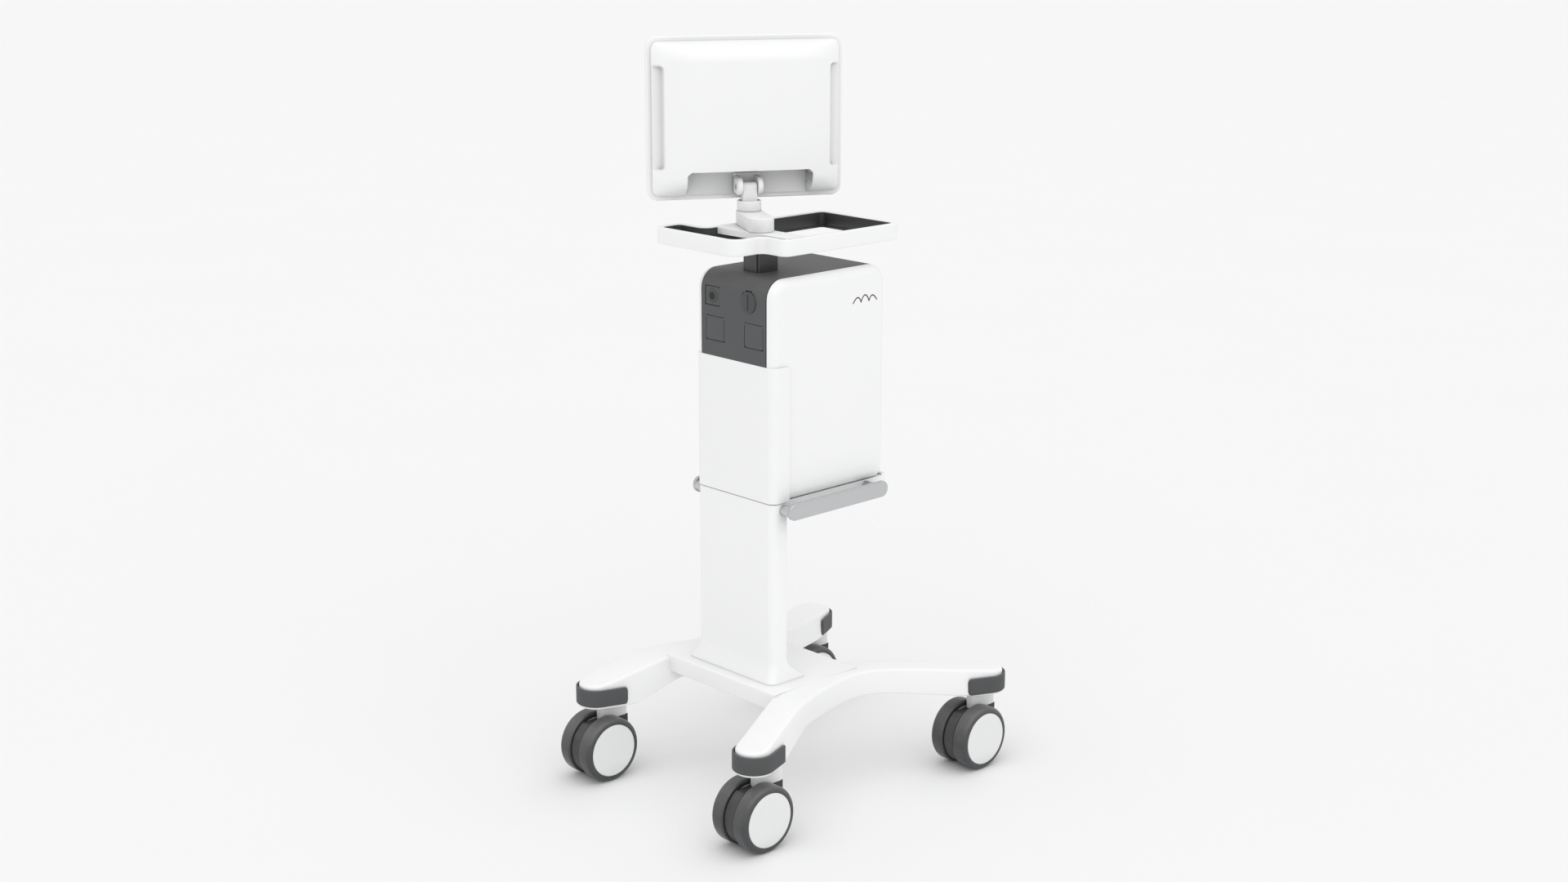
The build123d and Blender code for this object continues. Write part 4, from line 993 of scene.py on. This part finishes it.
def makeBezel():
    # heights are measured forwards here, and turned round to face -Y at the end
    c = screen
    halfW, halfH, front = c["width"] / 2, c["height"] / 2, -screenBack + c["bezel"]
    loop = rectangle(halfW, halfH, c["corner"], 14, centre=(0, c["mid"]))
    edges = slabProfile(-screenBack, front, c["backEdge"], c["bezelEdge"], 7)
    inner, small = c["frame"], c["frameEdge"]
    lip = [(inner - small, front), (inner, front - small), (inner, front - c["sink"] - c["floor"])]
    rings = carried(loop, np.concatenate([edges, lip]))
    inner += c["glassGap"]
    loop = rectangle(halfW - inner, halfH - inner, c["glassCorner"], 10, centre=(0, c["mid"]))
    glass = carried(loop, slabProfile(front - c["sink"] + c["glassBack"], front - c["glassSunk"],
                                      c["glassBack"], c["glassEdge"], 3))
    forward = np.array([1, -1, 1])
    return [[shell(swung(part[..., [0, 2, 1]] * forward))] for part in (rings, glass)]


bezelShape, glassShape = makeBezel()
addPiece("monitorFrame", bezelShape, whitePlastic, "monitor", ["monitor_bezel"])
addPiece("monitorGlass", glassShape, screenGlass, "monitor", ["monitor_glass"])


def boxMask(x, z, low, high, corner, soft):
    # 1 inside a rounded box and 0 outside, changing over a soft edge by the distance to its outline
    mid = (np.array(low) + np.array(high)) / 2
    half = (np.array(high) - np.array(low)) / 2 - corner
    qx, qz = np.abs(x - mid[0]) - half[0], np.abs(z - mid[1]) - half[1]
    distance = np.hypot(np.maximum(qx, 0), np.maximum(qz, 0)) + np.minimum(np.maximum(qx, qz), 0) - corner
    t = np.clip(0.5 - distance / soft, 0, 1)
    return t * t * (3 - 2 * t)


def makePillow():
    # depth behind the frame: a parabola in from each side, times a quarter ellipse in from the top and
    # bottom; then level floors are let in for the finger grips and for the hinge bay
    p = pillow
    halfW, halfH = screen["width"] / 2 - p["margin"], screen["height"] / 2 - p["margin"]
    insets = np.unique(np.concatenate([
        np.array([0, 0.3, 0.8, 1.5, 2.5]), np.arange(3.5, 36, 1.6), np.linspace(36, halfH - 0.4, 46),
        p["gripWide"] + np.array([-1.2, -0.6, 0, 0.6, 1.2]),
        p["bayTop"] - (screen["mid"] - halfH) + np.array([-1.4, -0.8, -0.3, 0.3, 0.8, 1.4])]))
    side, top = 150, 230
    straightX = np.linspace(-1, 1, top)
    straightZ = np.linspace(-1, 1, side)
    corner = np.linspace(0, pi / 2, 50)[1:-1]
    rings = []
    for inset in insets:
        w, h = halfW - inset, halfH - inset
        r = min(p["corner"] + p["cornerGrow"] * inset, h * 0.96)
        low = np.stack([straightX * (w - r), np.full(top, -h)], 1)
        right = np.stack([np.full(side, w), straightZ * (h - r)], 1)
        turn = np.stack([w - r + r * np.sin(corner), -h + r - r * np.cos(corner)], 1)
        turnUp = np.stack([w - r + r * np.cos(corner), h - r + r * np.sin(corner)], 1)
        quarter = np.concatenate([low, turn, right, turnUp])
        rings.append(np.concatenate([quarter, -quarter]))
    flat = np.array(rings)
    x, z = flat[..., 0], flat[..., 1] + screen["mid"]
    fromSide = np.clip((halfW - np.abs(x)) / p["sideRun"], 0, 1)
    fromEnd = np.clip((halfH - np.abs(flat[..., 1])) / p["endRun"], 0, 1)
    sideRise = p["edge"] + (p["deep"] - p["edge"]) * (1 - (1 - fromSide) ** 2)
    depth = sideRise * np.sqrt(1 - (1 - fromEnd) ** 2)
    for sign in (-1, 1):
        low, high = sorted((sign * (halfW - p["gripWide"]), sign * (halfW + p["gripOut"])))
        mask = boxMask(x, z, (low, p["gripLow"]), (high, p["gripHigh"]), p["gripCorner"], p["soft"])
        depth = depth + (np.minimum(p["edge"], depth) - depth) * mask
    mask = boxMask(x, z, (-p["bayHalf"], p["bayLow"]), (p["bayHalf"], p["bayTop"]), p["bayCorner"], p["soft"])
    depth = depth + (np.minimum(p["bayFloor"], depth) - depth) * mask
    surface = np.stack([x, screenBack + depth, z], -1)
    foot = surface[:1].copy()
    foot[..., 1] = screenBack - p["bury"]
    return [shell(swung(np.concatenate([foot, surface])))]


addPiece("monitorShell", makePillow(), monitorPlastic, "monitor", ["monitor_shell"], crease=60)
print("monitor made")


# finishes on the pieces that keep their own shape

nodeFinish = {
    "caster_stems": steel, "column_core": steel, "support_shelf": whitePlastic, "rail_pegs": railMetal,
    "patient_ports": whitePlastic, "flap_pins": steel, "connector_board": innerPlastic,
    "chassis": innerPlastic, "blower": innerPlastic, "gas_manifold": innerPlastic, "battery": cellWrap,
    "power_supply": innerPlastic,
    "mainboard": circuitGreen, "display_panel": screenFace, "hinge_pin": steel,
}
for casterName in casterNames:
    nodeFinish[f"caster_{casterName}_web"] = webPlastic
    nodeFinish[f"caster_{casterName}_axle"] = steel
for node, material in nodeFinish.items():
    slots = frame["nodes"][node].data.materials
    slots.clear()
    slots.append(material)
print("finishes placed")


# floor, light and camera

studio = {"floor": 90.0, "floorColour": (0.90, 0.90, 0.90), "world": 0.8,
          "sun": 0.89, "sunFrom": (-0.38, 0.19, 0.785), "sunAngle": 80.0}


def makeFloor():
    material = bpy.data.materials.new("paleFloor")
    material.use_nodes = True
    tree = material.node_tree
    shader = tree.nodes["Principled BSDF"]
    place = tree.nodes.new("ShaderNodeTexCoord").outputs["Object"]
    cloud = addNode(tree, "ShaderNodeTexNoise", Scale=1.5, Detail=3.0)
    tree.links.new(place, cloud.inputs["Vector"])
    colour = studio["floorColour"]
    tree.links.new(blendColour(tree, cloud.outputs["Fac"], colour, tuple(c * 0.99 for c in colour)),
                   shader.inputs["Base Color"])
    shader.inputs["Roughness"].default_value = 0.8
    shader.inputs["Specular IOR Level"].default_value = 0.1
    reach = studio["floor"]
    mesh = bpy.data.meshes.new("floor")
    mesh.from_pydata([(-reach, -reach, 0), (reach, -reach, 0), (reach, reach, 0), (-reach, reach, 0)], [],
                     [(0, 1, 2, 3)])
    mesh.materials.append(material)
    floor = bpy.data.objects.new("floor", mesh)
    bpy.context.scene.collection.objects.link(floor)


def makeWorld():
    world = bpy.data.worlds.new("studio")
    world.use_nodes = True
    background = world.node_tree.nodes["Background"]
    background.inputs["Color"].default_value = (1.0, 1.0, 1.0, 1.0)
    background.inputs["Strength"].default_value = studio["world"]
    bpy.context.scene.world = world


def makeSun():
    light = bpy.data.lights.new("softbox", "SUN")
    light.energy = studio["sun"]
    light.angle = radians(studio["sunAngle"])
    lamp = bpy.data.objects.new("softbox", light)
    bpy.context.scene.collection.objects.link(lamp)
    lamp.rotation_euler = Vector(studio["sunFrom"]).to_track_quat("Z", "Y").to_euler()


view = {"place": (-2.8578, 2.7304, 1.7006), "yaw": 133.649, "pitch": 14.79, "roll": 0.128, "lens": 50.0}


def makeCamera():
    data = bpy.data.cameras.new("camera")
    data.lens = view["lens"]
    data.sensor_width = 36.0
    camera = bpy.data.objects.new("camera", data)
    bpy.context.scene.collection.objects.link(camera)
    yaw, pitch = radians(view["yaw"]), radians(view["pitch"])
    forward = Vector((sin(yaw) * cos(pitch), cos(yaw) * cos(pitch), -sin(pitch)))
    turn = forward.to_track_quat("-Z", "Y").to_matrix() @ Matrix.Rotation(radians(view["roll"]), 3, "Z")
    camera.location = view["place"]
    camera.rotation_euler = turn.to_euler()
    bpy.context.scene.camera = camera


makeFloor()
makeWorld()
makeSun()
makeCamera()
bpy.context.scene.view_settings.view_transform = "Standard"
print("studio made")
